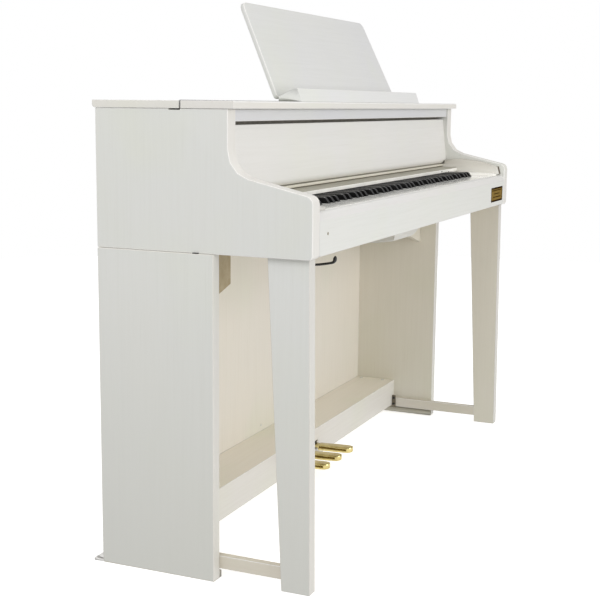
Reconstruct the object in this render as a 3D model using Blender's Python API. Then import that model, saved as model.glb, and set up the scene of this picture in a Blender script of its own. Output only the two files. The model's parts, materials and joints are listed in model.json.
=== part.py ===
import math

import bmesh
import bpy
from mathutils import Vector

# A digital piano: an upper cabinet with the keyboard, standing on two legs, two lower side panels
# and a pedal box. Lengths are in metres. The origin is on the floor, in the middle of the width and
# the depth. +X is the treble side, -Y the player's side and +Z up. Each piece is drawn with its Y
# counted from the front of the arms, and one empty carries them all to the origin.

# Clearances, and how far a cutter runs past the face that it opens
GAP = 0.0003
RUN_GAP = 0.0005
KEY_GAP = 0.0010
OVERCUT = 0.010

# Edge roundings
BOARD_EDGE = 0.0015
FINE_EDGE = 0.0010
LID_EDGE = 0.0008
DESK_EDGE = 0.0012
CAP_EDGE = 0.0006
BUTTON_EDGE = 0.0004
PEDAL_EDGE = 0.0030

# Levels, from the floor up
STAND_TOP = 0.6463
SIDE_BOTTOM = STAND_TOP + GAP
SIDE_HEIGHT = 0.2699
SIDE_TOP = SIDE_BOTTOM + SIDE_HEIGHT
BED_RAISE = 0.0034
BED_BOTTOM = SIDE_BOTTOM + BED_RAISE
BED_THICKNESS = 0.018
BED_TOP = BED_BOTTOM + BED_THICKNESS
KEY_LEVEL = 0.0633
WHITE_TOP = BED_TOP + KEY_LEVEL
LID_THICKNESS = 0.0147
LID_BOTTOM = SIDE_TOP + GAP
LID_TOP = LID_BOTTOM + LID_THICKNESS

# Key slip and the plate let into its front
SLIP_THICKNESS = 0.018
SLIP_RISE = 0.0032
SLIP_TOP = WHITE_TOP + SLIP_RISE
SLIP_CHAMFER = (0.0056, 0.019)
SLIP_ROUND = 0.0045
PLATE_INSET = 0.0157
PLATE_WIDTH = 0.123
PLATE_RAISE = 0.0125
PLATE_HEIGHT = 0.0395
PLATE_THICKNESS = 0.001

# Keyboard
WHITE_COUNT = 52
WHITE_PITCH = 0.0235
WHITE_HEIGHT = 0.020
WHITE_BOTTOM = WHITE_TOP - WHITE_HEIGHT
WHITE_FRONT = SLIP_THICKNESS + 2 * KEY_GAP
WHITE_LIP = 0.0012
WHITE_HEAD = 0.046
BLACK_FRONT = WHITE_FRONT + WHITE_HEAD
BLACK_RISE = 0.012
BLACK_RAKE = 0.008
BLACK_EASE = (0.0048, 0.0014)
BLACK_FALL = 0.0045
BLACK_WIDTH = 0.0116
BLACK_TAPER = 0.001
KEYS_HALF = WHITE_COUNT * WHITE_PITCH / 2
LETTERS = "ABCDEFG"
BLACK_OFFSETS = {"C": -1 / 10, "D": 1 / 10, "F": -1 / 7, "G": 0.0, "A": 1 / 7}
MIDDLE_FIRST = 23
MIDDLE_COUNT = 7

# Pivots of the keys
ROD_RADIUS = 0.003
PIVOT_DROP = 0.0083
PIVOT_HEIGHT = WHITE_BOTTOM - PIVOT_DROP
WHITE_REACH = 0.305
WHITE_PIVOT = WHITE_FRONT + WHITE_REACH
WHITE_END = 0.010
WHITE_TAIL = WHITE_PIVOT + WHITE_END
PIVOT_STEP = 0.035
BLACK_PIVOT = WHITE_PIVOT - PIVOT_STEP
BLACK_END = 0.015
BLACK_TAIL = BLACK_PIVOT + BLACK_END
FOOT_HALF = 0.0065
FOOT_DROP = 0.003
SADDLE_WALL = 0.005
SADDLE_WIDTH = 0.007

# Key frame
FRAME_INSET = 0.005
FRAME_HALF = KEYS_HALF - FRAME_INSET
FRAME_SHEET = 0.0035
STOP_RAIL_WIDTH = 0.014
STOP_DROP = 0.0128
STOP_RAIL_TOP = WHITE_BOTTOM - STOP_DROP
WHITE_STOP = WHITE_FRONT + STOP_RAIL_WIDTH
BLACK_STOP_SETBACK = 0.026
BLACK_STOP = BLACK_FRONT + BLACK_STOP_SETBACK
FRAME_LIP = 0.008
FRAME_FRONT = WHITE_STOP - FRAME_LIP
FRAME_HEEL = 0.021
FRAME_REAR = WHITE_PIVOT + FRAME_HEEL

# Blocks and linings beside the keys, and the side panels outside them
BLOCK_INNER = KEYS_HALF + KEY_GAP
BLOCK_WIDTH = 0.0483
BLOCK_RISE = 0.0065
BLOCK_TOP = WHITE_TOP + BLOCK_RISE
LINING_INNER = BLOCK_INNER + BLOCK_WIDTH
LINING_THICKNESS = 0.0194
BETWEEN = LINING_INNER + LINING_THICKNESS
SIDE_INNER = BETWEEN + GAP
SIDE_THICKNESS = 0.033
CABINET_HALF = SIDE_INNER + SIDE_THICKNESS
UPPER_FRONT = 0.172
ARM_NOSE_RISE = 0.0291
ARM_NOSE_TOP = WHITE_TOP + ARM_NOSE_RISE
ARM_SLOPE = 0.224
ARM_FILLET = 0.054
ARM_NOSE_RADIUS = 0.016
ARM_HEEL_RADIUS = 0.008
BACK_ROOM = 0.0943
BACK_FRONT = FRAME_REAR + BACK_ROOM
BACK_THICKNESS = 0.0152
BACK_INSET = 0.0031
SIDE_DEPTH = BACK_FRONT + BACK_THICKNESS + BACK_INSET
LINING_LAP = 0.0037
LINING_ARCH = ((0.0203, 0.0236), (0.1000, 0.0422))
LINING_END_RISE = 0.0393
LINING_TUCK = 0.0020

# Rail behind the keys, with the power button
RAIL_DEPTH = 0.055
RAIL_SETBACK = 0.018
RAIL_REAR = UPPER_FRONT + RAIL_SETBACK
RAIL_FRONT = RAIL_REAR - RAIL_DEPTH
RAIL_OVER = 0.0024
RAIL_UNDERSIDE = WHITE_TOP + BLACK_RISE - BLACK_FALL + RAIL_OVER
RAIL_CLEARANCE = 0.0008
RAIL_EDGE = 0.0006
BLACK_STEP = 0.020
BLACK_REAR = RAIL_REAR - BLACK_STEP
BUTTON_INSET = 0.098
BUTTON_X = KEYS_HALF - BUTTON_INSET
BUTTON_RADIUS = 0.0018
BUTTON_LENGTH = 0.010
BUTTON_PROUD = 0.0012

# Volume slider
SLIDER_X = -(BLOCK_INNER + LINING_INNER) / 2
SLIDER_Y = 0.090
SLIDER_TRAVEL = 0.012
SLIDER_STEM = (0.0016, 0.0030)
SLIDER_CAP = (0.010, 0.006, 0.0032)
SLIDER_SLOT_DEPTH = 0.008

# Sliding key cover and its guides
COVER_SETBACK = 0.006
COVER_FRONT = UPPER_FRONT + COVER_SETBACK
COVER_LENGTH = 0.222
COVER_RISE = 0.0113
COVER_UNDERSIDE = RAIL_UNDERSIDE + COVER_RISE
COVER_THICKNESS = 0.008
COVER_SLOPE = math.radians(3.5)
COVER_UPRIGHT = COVER_THICKNESS / math.cos(COVER_SLOPE)
COVER_SIDE_GAP = 0.0008
COVER_HALF = LINING_INNER - COVER_SIDE_GAP
COVER_LOWER_ROUND = 0.002
COVER_UPPER_ROUND = 0.003
GUIDE_SETBACK = 0.023
GUIDE_START = UPPER_FRONT + GUIDE_SETBACK
GUIDE_END_GAP = 0.0203
GUIDE_END = BACK_FRONT - GUIDE_END_GAP
GUIDE_REACH = 0.010
GUIDE_FLANGE = 0.003
GUIDE_WEB_DROP = 0.012
GUIDE_WEB_RISE = 0.017

# Rail and slanted panel above the keyboard
TOP_RAIL_SETBACK = 0.0045
TOP_RAIL_FRONT = UPPER_FRONT + TOP_RAIL_SETBACK
TOP_RAIL_DEPTH = 0.018
TOP_RAIL_HEIGHT = 0.023
TOP_RAIL_BOTTOM = SIDE_TOP - TOP_RAIL_HEIGHT
PANEL_FRONT = UPPER_FRONT + RUN_GAP
PANEL_LEAN = 0.0145
PANEL_THICKNESS = 0.0151
PANEL_ROUND = 0.006
PANEL_CLEARANCE = 0.0007
PANEL_HEAD_DROP = 0.0307
PANEL_TOP = SIDE_TOP - PANEL_HEAD_DROP
PANEL_BOTTOM = (COVER_UNDERSIDE + COVER_UPRIGHT + PANEL_CLEARANCE
                + (PANEL_FRONT + PANEL_THICKNESS - COVER_FRONT) * math.tan(COVER_SLOPE))

# Lid, ledge and music desk
LID_LIP = 0.014
LID_FRONT = UPPER_FRONT - LID_LIP
LID_OVERHANG = 0.002
LID_REAR_LIP = 0.0054
LID_REAR = SIDE_DEPTH + LID_REAR_LIP
LID_REAR_ROUND = 0.006
LEDGE_HALF = 0.390
LEDGE_SETBACK = 0.008
LEDGE_FRONT = LID_FRONT + LEDGE_SETBACK
LEDGE_DEPTH = 0.052
LEDGE_REAR = LEDGE_FRONT + LEDGE_DEPTH
LEDGE_CREST = (0.0095, 0.0277)
LEDGE_SHOULDER = (0.020, 0.0253)
LEDGE_HEEL = 0.010
LEDGE_ROUND = 0.003
DESK_LEAN = math.radians(24.9)
DESK_HALF_BOTTOM = 0.374
DESK_HALF_TOP = 0.3562
DESK_HEIGHT = 0.2202
DESK_THICKNESS = 0.0095
DESK_TOP_CORNER = 0.018
DESK_FOOT_CORNER = 0.007
DESK_FOOT = 0.001
DESK_AXIS_SETBACK = 0.0145
DESK_AXIS_RISE = 0.0075
DESK_AXIS = (LEDGE_REAR + DESK_AXIS_SETBACK, LID_TOP + DESK_AXIS_RISE)
DESK_PIN_RADIUS = 0.002
DESK_HINGE_X = 0.250
DESK_LUG_WIDTH = 0.026
DESK_LUG_RADIUS = 0.005
DESK_LUG_ROOT = 0.008
DESK_NOTCH_GAP = 0.001
DESK_NOTCH_HEIGHT = 0.008
SEAM_SETBACK = 0.039
SEAM = DESK_AXIS[0] + SEAM_SETBACK
HINGE_RADIUS = 0.0012
HINGE_LEAF = 0.0009
HINGE_DROP = 0.011
NOTCH_LENGTH = 0.025
NOTCH_DEPTH = 0.0025

# Stand
STAND_PROUD = 0.0035
STAND_HALF = CABINET_HALF + STAND_PROUD
LOWER_THICKNESS = 0.0255
LOWER_INNER = STAND_HALF - LOWER_THICKNESS
LOWER_FRONT = 0.201
LOWER_REAR_INSET = 0.0046
LOWER_REAR = SIDE_DEPTH - LOWER_REAR_INSET
LEG_INSET = 0.012
LEG_OUTER = CABINET_HALF - LEG_INSET
LEG_THICKNESS = 0.027
LEG_FOOT = (0.0069, 0.0613)
LEG_HEAD = (0.0106, 0.0939)
STRETCHER_BOTTOM = 0.019
STRETCHER_HEIGHT = 0.033
STRETCHER_THICKNESS = 0.0167
FOOT_LIP = 0.003
FOOT_FRONT = LOWER_FRONT - FOOT_LIP
FOOT_HEEL = 0.0244
FOOT_REAR = SIDE_DEPTH + FOOT_HEEL
FOOT_WIDTH = 0.0335
FOOT_SOLE = 0.005
FOOT_GROOVE = 0.003
FOOT_HEIGHT = 0.014
FOOT_TOE = 0.025
FOOT_STEP = 0.005
FOOT_SLOPE = 0.008
GUSSET_SETBACK = 0.049
GUSSET_FRONT = LOWER_FRONT + GUSSET_SETBACK
GUSSET_THICKNESS = 0.018
GUSSET_REACH = 0.144
GUSSET_INNER_HEIGHT = 0.081
GUSSET_OUTER_HEIGHT = 0.121
LOWER_BACK_THICKNESS = 0.012
LOWER_BACK_BOTTOM = 0.022

# Pedal box and pedals
BOX_DEPTH = 0.119
BOX_REAR = BACK_FRONT - GAP
BOX_FRONT = BOX_REAR - BOX_DEPTH
BOX_BOTTOM = 0.022
BOX_HEIGHT = 0.075
BOX_TOP = BOX_BOTTOM + BOX_HEIGHT
BOX_WALL = 0.012
PEDAL_PITCH = 0.0775
PEDAL_REACH = 0.103
PEDAL_TIP = BOX_FRONT - PEDAL_REACH
PEDAL_NECK = (0.059, 0.021)
PEDAL_SEAT = 0.039
PEDAL_PIVOT = BOX_FRONT + PEDAL_SEAT
PEDAL_HEEL = 0.032
PEDAL_TAIL = PEDAL_PIVOT + PEDAL_HEEL
PEDAL_RAISE = 0.035
PEDAL_HEIGHT = BOX_BOTTOM + PEDAL_RAISE
PEDAL_THICKNESS = 0.012
PEDAL_WIDTH = 0.029
PEDAL_SHANK = 0.022
PEDAL_TRAVEL = math.radians(8)
AXLE_RADIUS = 0.003
SLOT_SIDE = 0.004
SLOT_MARGIN = 0.0015
BRACKET_PLATE = 0.003
BRACKET_LUG = 0.006
BRACKET_DEPTH = 0.050

# Speaker housing under the key bed: how deep it is at stations along its length
POD_LEFT = 0.1995
POD_MOUTH = (0.157, 0.335)
POD_DEPTH = 0.0694
POD_CROWN = 0.0075
POD_INSET = 0.004
POD_RIM = 0.006
POD_STATIONS = ((0.0, 0.955), (0.003, 1.0), (0.140, 1.0), (0.166, 0.965), (0.188, 0.886),
                (0.203, 0.774), (0.213, 0.62), (0.219, 0.43), (0.2215, 0.27))

# Headphone hook: a path back from the front, down from the key bed, with the radius at each point
HOOK_INSET = 0.1097
HOOK_X = -(BETWEEN - HOOK_INSET)
HOOK_ROD = 0.0022
HOOK_PATH = ((0.0680, 0.0003, HOOK_ROD), (0.0680, 0.0220, HOOK_ROD), (0.0645, 0.0295, HOOK_ROD),
             (0.0560, 0.0310, HOOK_ROD), (0.0345, 0.0275, HOOK_ROD), (0.0205, 0.0248, HOOK_ROD),
             (0.0165, 0.0230, 0.0027), (0.0142, 0.0200, 0.0036), (0.0136, 0.0165, 0.0039),
             (0.0132, 0.0132, 0.0028), (0.0128, 0.0112, 0.0012))

# Power inlet and circuit board
INLET_X = -0.520
INLET_RAISE = 0.032
INLET_Z = BED_TOP + INLET_RAISE
INLET_SIZE = (0.026, 0.017)
INLET_FLANGE = 0.004
INLET_DEPTH = 0.012
INLET_PROUD = 0.0015
INLET_FLANGE_THICKNESS = 0.0022
INLET_BORE = 0.0045
INLET_BORE_DEPTH = 0.0072
CIRCUIT_X = (-0.420, -0.120)
CIRCUIT_DEPTH = 0.045
CIRCUIT_GAP = 0.0123
CIRCUIT_REAR = BACK_FRONT - CIRCUIT_GAP
CIRCUIT_HEIGHT = 0.008
CIRCUIT_THICKNESS = 0.0016
POST_INSET = 0.008
POST_HALF = 0.003
CHIP_PLACES = (0.040, 0.110, 0.210)
CHIP_FRONT = 0.010
CHIP_SIZE = 0.024
CHIP_HEIGHT = 0.004

DEPTH = FOOT_REAR
KEYS_LEFT = -KEYS_HALF
SIDES = (("left", -1), ("right", 1))

ARC_STEP = math.radians(18)
SHARP = math.radians(40)

COLOURS = {
    "pale_board": ((0.66, 0.65, 0.61), 0.50, 0.0),
    "rail_lacquer": ((0.58, 0.58, 0.60), 0.45, 0.0),
    "cream_lining": ((0.60, 0.56, 0.44), 0.60, 0.0),
    "back_board": ((0.55, 0.51, 0.43), 0.70, 0.0),
    "white_key": ((0.80, 0.79, 0.76), 0.35, 0.0),
    "black_key": ((0.012, 0.012, 0.013), 0.45, 0.0),
    "brass": ((0.55, 0.40, 0.16), 0.30, 1.0),
    "steel": ((0.45, 0.45, 0.46), 0.35, 1.0),
    "black_plastic": ((0.02, 0.02, 0.02), 0.50, 0.0),
    "white_plastic": ((0.72, 0.72, 0.70), 0.45, 0.0),
    "circuit": ((0.03, 0.16, 0.07), 0.50, 0.0),
}


def clear_scene():
    for item in list(bpy.data.objects):
        bpy.data.objects.remove(item, do_unlink=True)


def look(name):
    made = bpy.data.materials.get(name)
    if made is None:
        colour, roughness, metallic = COLOURS[name]
        made = bpy.data.materials.new(name)
        made.use_nodes = True
        shader = made.node_tree.nodes["Principled BSDF"]
        shader.inputs["Base Color"].default_value = (*colour, 1.0)
        shader.inputs["Roughness"].default_value = roughness
        shader.inputs["Metallic"].default_value = metallic
    return made


# Outlines

def arc(centre, radius, start, end, step=ARC_STEP):
    count = max(2, math.ceil(abs(end - start) / step))
    return [(centre[0] + radius * math.cos(start + (end - start) * i / count),
             centre[1] + radius * math.sin(start + (end - start) * i / count))
            for i in range(count + 1)]


def arc_through(first, middle, last, count=8):
    a, b, c = (Vector(point) for point in (first, middle, last))
    twice = 2 * (a.x * (b.y - c.y) + b.x * (c.y - a.y) + c.x * (a.y - b.y))
    squares = [point.length_squared for point in (a, b, c)]
    centre = Vector((
        (squares[0] * (b.y - c.y) + squares[1] * (c.y - a.y) + squares[2] * (a.y - b.y)) / twice,
        (squares[0] * (c.x - b.x) + squares[1] * (a.x - c.x) + squares[2] * (b.x - a.x)) / twice))
    start = math.atan2(a.y - centre.y, a.x - centre.x)
    end = math.atan2(c.y - centre.y, c.x - centre.x)
    return arc(centre, (a - centre).length, start, end, abs(end - start) / count)


def rounded(corners):
    outline = []
    for i, (a, b, radius) in enumerate(corners):
        corner = Vector((a, b))
        if radius == 0:
            outline.append((a, b))
            continue
        before = (Vector(corners[i - 1][:2]) - corner).normalized()
        after = (Vector(corners[(i + 1) % len(corners)][:2]) - corner).normalized()
        half = before.angle(after) / 2
        reach = radius / math.tan(half)
        centre = corner + (before + after).normalized() * radius / math.sin(half)
        start = corner + before * reach - centre
        end = corner + after * reach - centre
        turn = math.copysign(math.pi - 2 * half, start.x * end.y - start.y * end.x)
        first = math.atan2(start.y, start.x)
        outline += arc(centre, radius, first, first + turn, math.radians(30))
    return outline


def rectangle(a, b):
    return [(a[0], b[0]), (a[1], b[0]), (a[1], b[1]), (a[0], b[1])]


# Meshes

def at(axis, a, b, along):
    return {"X": (along, a, b), "Y": (a, along, b), "Z": (a, b, along)}[axis]


def add_prism(mesh, outline, axis, start, end):
    rings = [[mesh.verts.new(at(axis, a, b, along)) for a, b in outline] for along in (start, end)]
    faces = [mesh.faces.new(ring) for ring in rings]
    for i in range(len(outline)):
        faces.append(mesh.faces.new((rings[0][i - 1], rings[0][i], rings[1][i], rings[1][i - 1])))
    bmesh.ops.recalc_face_normals(mesh, faces=faces)


def prism(outline, axis, start, end):
    mesh = bmesh.new()
    add_prism(mesh, outline, axis, start, end)
    return mesh


def boxes(*extents):
    mesh = bmesh.new()
    for x, y, z in extents:
        add_prism(mesh, rectangle(x, y), "Z", *z)
    return mesh


def rod(axis, centre, radius, start, end, sides=16):
    ring = arc(centre, radius, 0, math.tau, math.tau / sides)[:-1]
    return prism(ring, axis, start, end)


def add_piece(name, mesh, material, origin=None, lean=0.0):
    bounds = [[vertex.co[i] for vertex in mesh.verts] for i in range(3)]
    if origin is None:
        origin = Vector([(min(values) + max(values)) / 2 for values in bounds])
        bmesh.ops.translate(mesh, verts=mesh.verts, vec=-origin)
    elif lean == 0:
        bmesh.ops.translate(mesh, verts=mesh.verts, vec=-Vector(origin))
    data = bpy.data.meshes.new(name)
    mesh.to_mesh(data)
    mesh.free()
    data.materials.append(look(material))
    data.shade_smooth()
    data.set_sharp_from_angle(angle=SHARP)
    piece = bpy.data.objects.new(name, data)
    bpy.context.scene.collection.objects.link(piece)
    piece.parent = cabinet
    piece.location = origin
    piece.rotation_euler = (lean, 0, 0)
    return piece


def round_edges(piece, width=BOARD_EDGE, segments=2):
    bevel = piece.modifiers.new("edges", "BEVEL")
    bevel.width = width
    bevel.segments = segments
    bevel.limit_method = "ANGLE"
    bevel.angle_limit = math.radians(50)


def combine(piece, mesh, operation):
    tool = add_piece(piece.name + "_tool", mesh, "steel")
    tool.hide_render = True
    tool.display_type = "WIRE"
    boolean = piece.modifiers.new("tool", "BOOLEAN")
    boolean.operation = operation
    boolean.solver = "EXACT"
    boolean.object = tool
    return tool


def cut(piece, mesh):
    return combine(piece, mesh, "DIFFERENCE")


def join(piece, mesh):
    return combine(piece, mesh, "UNION")


def mirrored(sign, inner, outer):
    return sign * inner, sign * outer


# Upper cabinet

def make_side_panels():
    arm_root = ARM_NOSE_TOP + ARM_SLOPE * UPPER_FRONT
    outline = rounded([
        (0.0, SIDE_BOTTOM, ARM_HEEL_RADIUS),
        (SIDE_DEPTH, SIDE_BOTTOM, 0),
        (SIDE_DEPTH, SIDE_TOP, 0),
        (UPPER_FRONT, SIDE_TOP, 0),
        (UPPER_FRONT, arm_root, ARM_FILLET),
        (0.0, ARM_NOSE_TOP, ARM_NOSE_RADIUS)])
    notch = rectangle((SEAM, SEAM + NOTCH_LENGTH), (SIDE_TOP - NOTCH_DEPTH, LID_TOP))
    for side, sign in SIDES:
        inner, outer = mirrored(sign, SIDE_INNER, CABINET_HALF)
        panel = add_piece("side_panel_" + side, prism(outline, "X", inner, outer), "pale_board")
        round_edges(panel)
        cut(panel, prism(notch, "X", inner - sign * OVERCUT, outer + sign * OVERCUT))


def make_lid():
    half = CABINET_HALF + LID_OVERHANG
    edge_gap = HINGE_RADIUS + GAP
    rear_outline = rounded([
        (SEAM + edge_gap, LID_BOTTOM, 0),
        (LID_REAR, LID_BOTTOM, LID_REAR_ROUND),
        (LID_REAR, LID_TOP, BOARD_EDGE),
        (SEAM + edge_gap, LID_TOP, 0)])
    rear = add_piece("lid_rear_board", prism(rear_outline, "X", -half, half), "pale_board")
    round_edges(rear, width=LID_EDGE, segments=1)

    front_outline = rounded([
        (LID_FRONT, LID_BOTTOM, BOARD_EDGE),
        (SEAM - edge_gap, LID_BOTTOM, 0),
        (SEAM - edge_gap, LID_TOP, 0),
        (LID_FRONT, LID_TOP, BOARD_EDGE * 2)])
    front = add_piece("lid_front_board", prism(front_outline, "X", -half, half), "pale_board",
                      origin=(0, SEAM, LID_TOP))
    round_edges(front, width=LID_EDGE, segments=1)

    # The fixed leaf lies against the rear board and carries the barrel, which shows as a thin line
    leaf_front = HINGE_RADIUS - HINGE_LEAF
    outline = [(SEAM + leaf_front, LID_TOP - HINGE_DROP), (SEAM + HINGE_RADIUS, LID_TOP - HINGE_DROP),
               (SEAM + HINGE_RADIUS, LID_TOP)]
    outline += arc((SEAM, LID_TOP), HINGE_RADIUS, 0, math.radians(180), math.radians(30))[1:]
    outline += arc((SEAM, LID_TOP), HINGE_RADIUS, math.radians(180),
                   math.radians(360) - math.acos(leaf_front / HINGE_RADIUS), math.radians(30))[1:]
    add_piece("lid_hinge", prism(outline, "X", -half + BOARD_EDGE, half - BOARD_EDGE), "steel")


def make_upper_panels():
    rail = boxes(((-BETWEEN, BETWEEN), (TOP_RAIL_FRONT, TOP_RAIL_FRONT + TOP_RAIL_DEPTH),
                  (TOP_RAIL_BOTTOM, SIDE_TOP - GAP)))
    round_edges(add_piece("upper_front_rail", rail, "rail_lacquer"), width=FINE_EDGE, segments=1)

    outline = rounded([
        (PANEL_FRONT, PANEL_BOTTOM, PANEL_ROUND),
        (PANEL_FRONT + PANEL_THICKNESS, PANEL_BOTTOM, 0),
        (PANEL_FRONT + PANEL_LEAN + PANEL_THICKNESS, PANEL_TOP, 0),
        (PANEL_FRONT + PANEL_LEAN, PANEL_TOP, BOARD_EDGE)])
    add_piece("slanted_front_panel", prism(outline, "X", -BETWEEN, BETWEEN), "pale_board")

    back = boxes(((-BETWEEN, BETWEEN), (BACK_FRONT, BACK_FRONT + BACK_THICKNESS),
                  (SIDE_BOTTOM, SIDE_TOP - GAP)))
    panel = add_piece("upper_back_panel", back, "back_board")
    half_x, half_z = (size / 2 + GAP for size in INLET_SIZE)
    cut(panel, boxes(((INLET_X - half_x, INLET_X + half_x), (BACK_FRONT - OVERCUT, SIDE_DEPTH + OVERCUT),
                      (INLET_Z - half_z, INLET_Z + half_z))))


def make_key_bed():
    bed = boxes(((-BETWEEN, BETWEEN), (SLIP_THICKNESS + GAP, BACK_FRONT - GAP), (BED_BOTTOM, BED_TOP)))
    add_piece("key_bed", bed, "back_board")

    outline = rounded([
        (0.0, BED_BOTTOM, BOARD_EDGE),
        (SLIP_THICKNESS, BED_BOTTOM, 0),
        (SLIP_THICKNESS, SLIP_TOP, BOARD_EDGE),
        (SLIP_CHAMFER[0], SLIP_TOP, SLIP_ROUND),
        (0.0, SLIP_TOP - SLIP_CHAMFER[1], BOARD_EDGE)])
    slip = add_piece("key_slip", prism(outline, "X", -BETWEEN, BETWEEN), "pale_board")
    plate_x = (BETWEEN - PLATE_INSET - PLATE_WIDTH, BETWEEN - PLATE_INSET)
    plate_z = (BED_BOTTOM + PLATE_RAISE, BED_BOTTOM + PLATE_RAISE + PLATE_HEIGHT)
    pocket_x = (plate_x[0] - GAP, plate_x[1] + GAP)
    pocket_z = (plate_z[0] - GAP, plate_z[1] + GAP)
    cut(slip, boxes((pocket_x, (-OVERCUT, PLATE_THICKNESS + GAP), pocket_z)))
    add_piece("front_plate", boxes((plate_x, (0.0, PLATE_THICKNESS), plate_z)), "brass")


# Keyboard

def white_left(index):
    return KEYS_LEFT + index * WHITE_PITCH


def letter(index):
    return LETTERS[index % len(LETTERS)]


def has_black_after(index):
    return letter(index) in BLACK_OFFSETS and index < WHITE_COUNT - 1


def black_centre(index):
    return white_left(index + 1) + BLACK_OFFSETS[letter(index)] * WHITE_PITCH


def white_span(index):
    return white_left(index) + KEY_GAP / 2, white_left(index + 1) - KEY_GAP / 2


def tail_span(index):
    left, right = white_span(index)
    if index > 0 and has_black_after(index - 1):
        left = black_centre(index - 1) + BLACK_WIDTH / 2 + KEY_GAP
    if has_black_after(index):
        right = black_centre(index) - BLACK_WIDTH / 2 - KEY_GAP
    return left, right


def foot_outline(pivot, notched):
    if notched:
        notch = arc((pivot, PIVOT_HEIGHT), ROD_RADIUS + GAP, math.pi, 0, math.radians(30))
        bottom = PIVOT_HEIGHT
    else:
        notch = []
        bottom = PIVOT_HEIGHT - FOOT_DROP
    return ([(pivot - FOOT_HALF, WHITE_BOTTOM), (pivot - FOOT_HALF, bottom)] + notch
            + [(pivot + FOOT_HALF, bottom), (pivot + FOOT_HALF, WHITE_BOTTOM)])


# A white key is drawn from the side over the width of its tail, and its head is pulled out sideways
def add_white_key(mesh, index, notched):
    head_left, head_right = white_span(index)
    tail_left, tail_right = tail_span(index)
    shoulder = BLACK_FRONT - KEY_GAP
    lip = [(WHITE_FRONT, WHITE_TOP - WHITE_LIP), (WHITE_FRONT + WHITE_LIP / 3, WHITE_TOP - WHITE_LIP / 3),
           (WHITE_FRONT + WHITE_LIP, WHITE_TOP)]
    tail = foot_outline(WHITE_PIVOT, notched) + [(WHITE_TAIL, WHITE_BOTTOM), (WHITE_TAIL, WHITE_TOP)]
    outline = ([(WHITE_FRONT, WHITE_BOTTOM), (shoulder, WHITE_BOTTOM)] + tail
               + [(shoulder, WHITE_TOP)] + lip[::-1])
    shoulder_top = 2 + len(tail)
    rings = [[mesh.verts.new((x, y, z)) for y, z in outline] for x in (tail_left, tail_right)]
    faces = []
    for i in range(len(outline)):
        faces.append(mesh.faces.new((rings[0][i - 1], rings[0][i], rings[1][i], rings[1][i - 1])))
    for ring, pull in zip(rings, (head_left - tail_left, head_right - tail_right)):
        faces.append(mesh.faces.new(ring[1:shoulder_top + 1]))
        head = mesh.faces.new(ring[:2] + ring[shoulder_top:])
        if pull == 0:
            faces.append(head)
            continue
        grown = bmesh.ops.extrude_discrete_faces(mesh, faces=[head])["faces"][0]
        bmesh.ops.translate(mesh, verts=grown.verts, vec=(pull, 0, 0))
    bmesh.ops.recalc_face_normals(mesh, faces=mesh.faces)


# A black key is drawn from the side too, and narrows above the white keys
def add_black_key(mesh, index, notched):
    top = WHITE_TOP + BLACK_RISE
    outline = ([(BLACK_FRONT, WHITE_BOTTOM)] + foot_outline(BLACK_PIVOT, notched)
               + [(BLACK_TAIL, WHITE_BOTTOM), (BLACK_TAIL, WHITE_TOP), (BLACK_REAR, WHITE_TOP),
                  (BLACK_REAR, top - BLACK_FALL), (BLACK_FRONT + BLACK_RAKE + BLACK_EASE[0], top),
                  (BLACK_FRONT + BLACK_RAKE, top - BLACK_EASE[1]), (BLACK_FRONT, WHITE_TOP)])
    centre = black_centre(index)
    before = set(mesh.verts)
    add_prism(mesh, outline, "X", centre - BLACK_WIDTH / 2, centre + BLACK_WIDTH / 2)
    for vertex in mesh.verts:
        if vertex not in before and vertex.co.z > WHITE_TOP + GAP:
            vertex.co.x -= math.copysign(BLACK_TAPER, vertex.co.x - centre)


def black_indices(first, last):
    return [index for index in range(first, last) if has_black_after(index)]


# Outside the middle octave the keys of one colour share a rod and move together
def make_key_set(name, indices, add_key, span, pivot, material):
    mesh = bmesh.new()
    for index in indices:
        add_key(mesh, index, False)
    keys = add_piece(name, mesh, material, origin=(0, pivot, PIVOT_HEIGHT))
    start = span(indices[0])[0] + KEY_GAP
    end = span(indices[-1])[1] - KEY_GAP
    join(keys, rod("X", (pivot, PIVOT_HEIGHT), ROD_RADIUS, start, end, sides=12))


def black_span(index):
    return black_centre(index) - BLACK_WIDTH / 2, black_centre(index) + BLACK_WIDTH / 2


def make_keys():
    middle_end = MIDDLE_FIRST + MIDDLE_COUNT
    for index in range(MIDDLE_FIRST, middle_end):
        mesh = bmesh.new()
        add_white_key(mesh, index, True)
        add_piece("key_" + letter(index).lower(), mesh, "white_key",
                  origin=(sum(white_span(index)) / 2, WHITE_PIVOT, PIVOT_HEIGHT))
    for index in black_indices(MIDDLE_FIRST, middle_end):
        mesh = bmesh.new()
        add_black_key(mesh, index, True)
        add_piece("key_" + letter(index).lower() + "_sharp", mesh, "black_key",
                  origin=(black_centre(index), BLACK_PIVOT, PIVOT_HEIGHT))
    for name, first, last in (("bass", 0, MIDDLE_FIRST), ("treble", middle_end, WHITE_COUNT)):
        make_key_set(name + "_white_keys", list(range(first, last)), add_white_key, tail_span,
                     WHITE_PIVOT, "white_key")
        make_key_set(name + "_black_keys", black_indices(first, last), add_black_key, black_span,
                     BLACK_PIVOT, "black_key")


# A saddle stands on the frame and holds a rod in a round-bottomed slot that is open above
def saddle_outline(pivot):
    wall = ROD_RADIUS + GAP + SADDLE_WALL
    slot = arc((pivot, PIVOT_HEIGHT), ROD_RADIUS + GAP, 0, -math.pi, math.radians(30))
    top = PIVOT_HEIGHT + ROD_RADIUS
    return ([(pivot - wall, BED_TOP + FRAME_SHEET / 2), (pivot + wall, BED_TOP + FRAME_SHEET / 2),
             (pivot + wall, top), (pivot + ROD_RADIUS + GAP, top)] + slot
            + [(pivot - ROD_RADIUS - GAP, top), (pivot - wall, top)])


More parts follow.
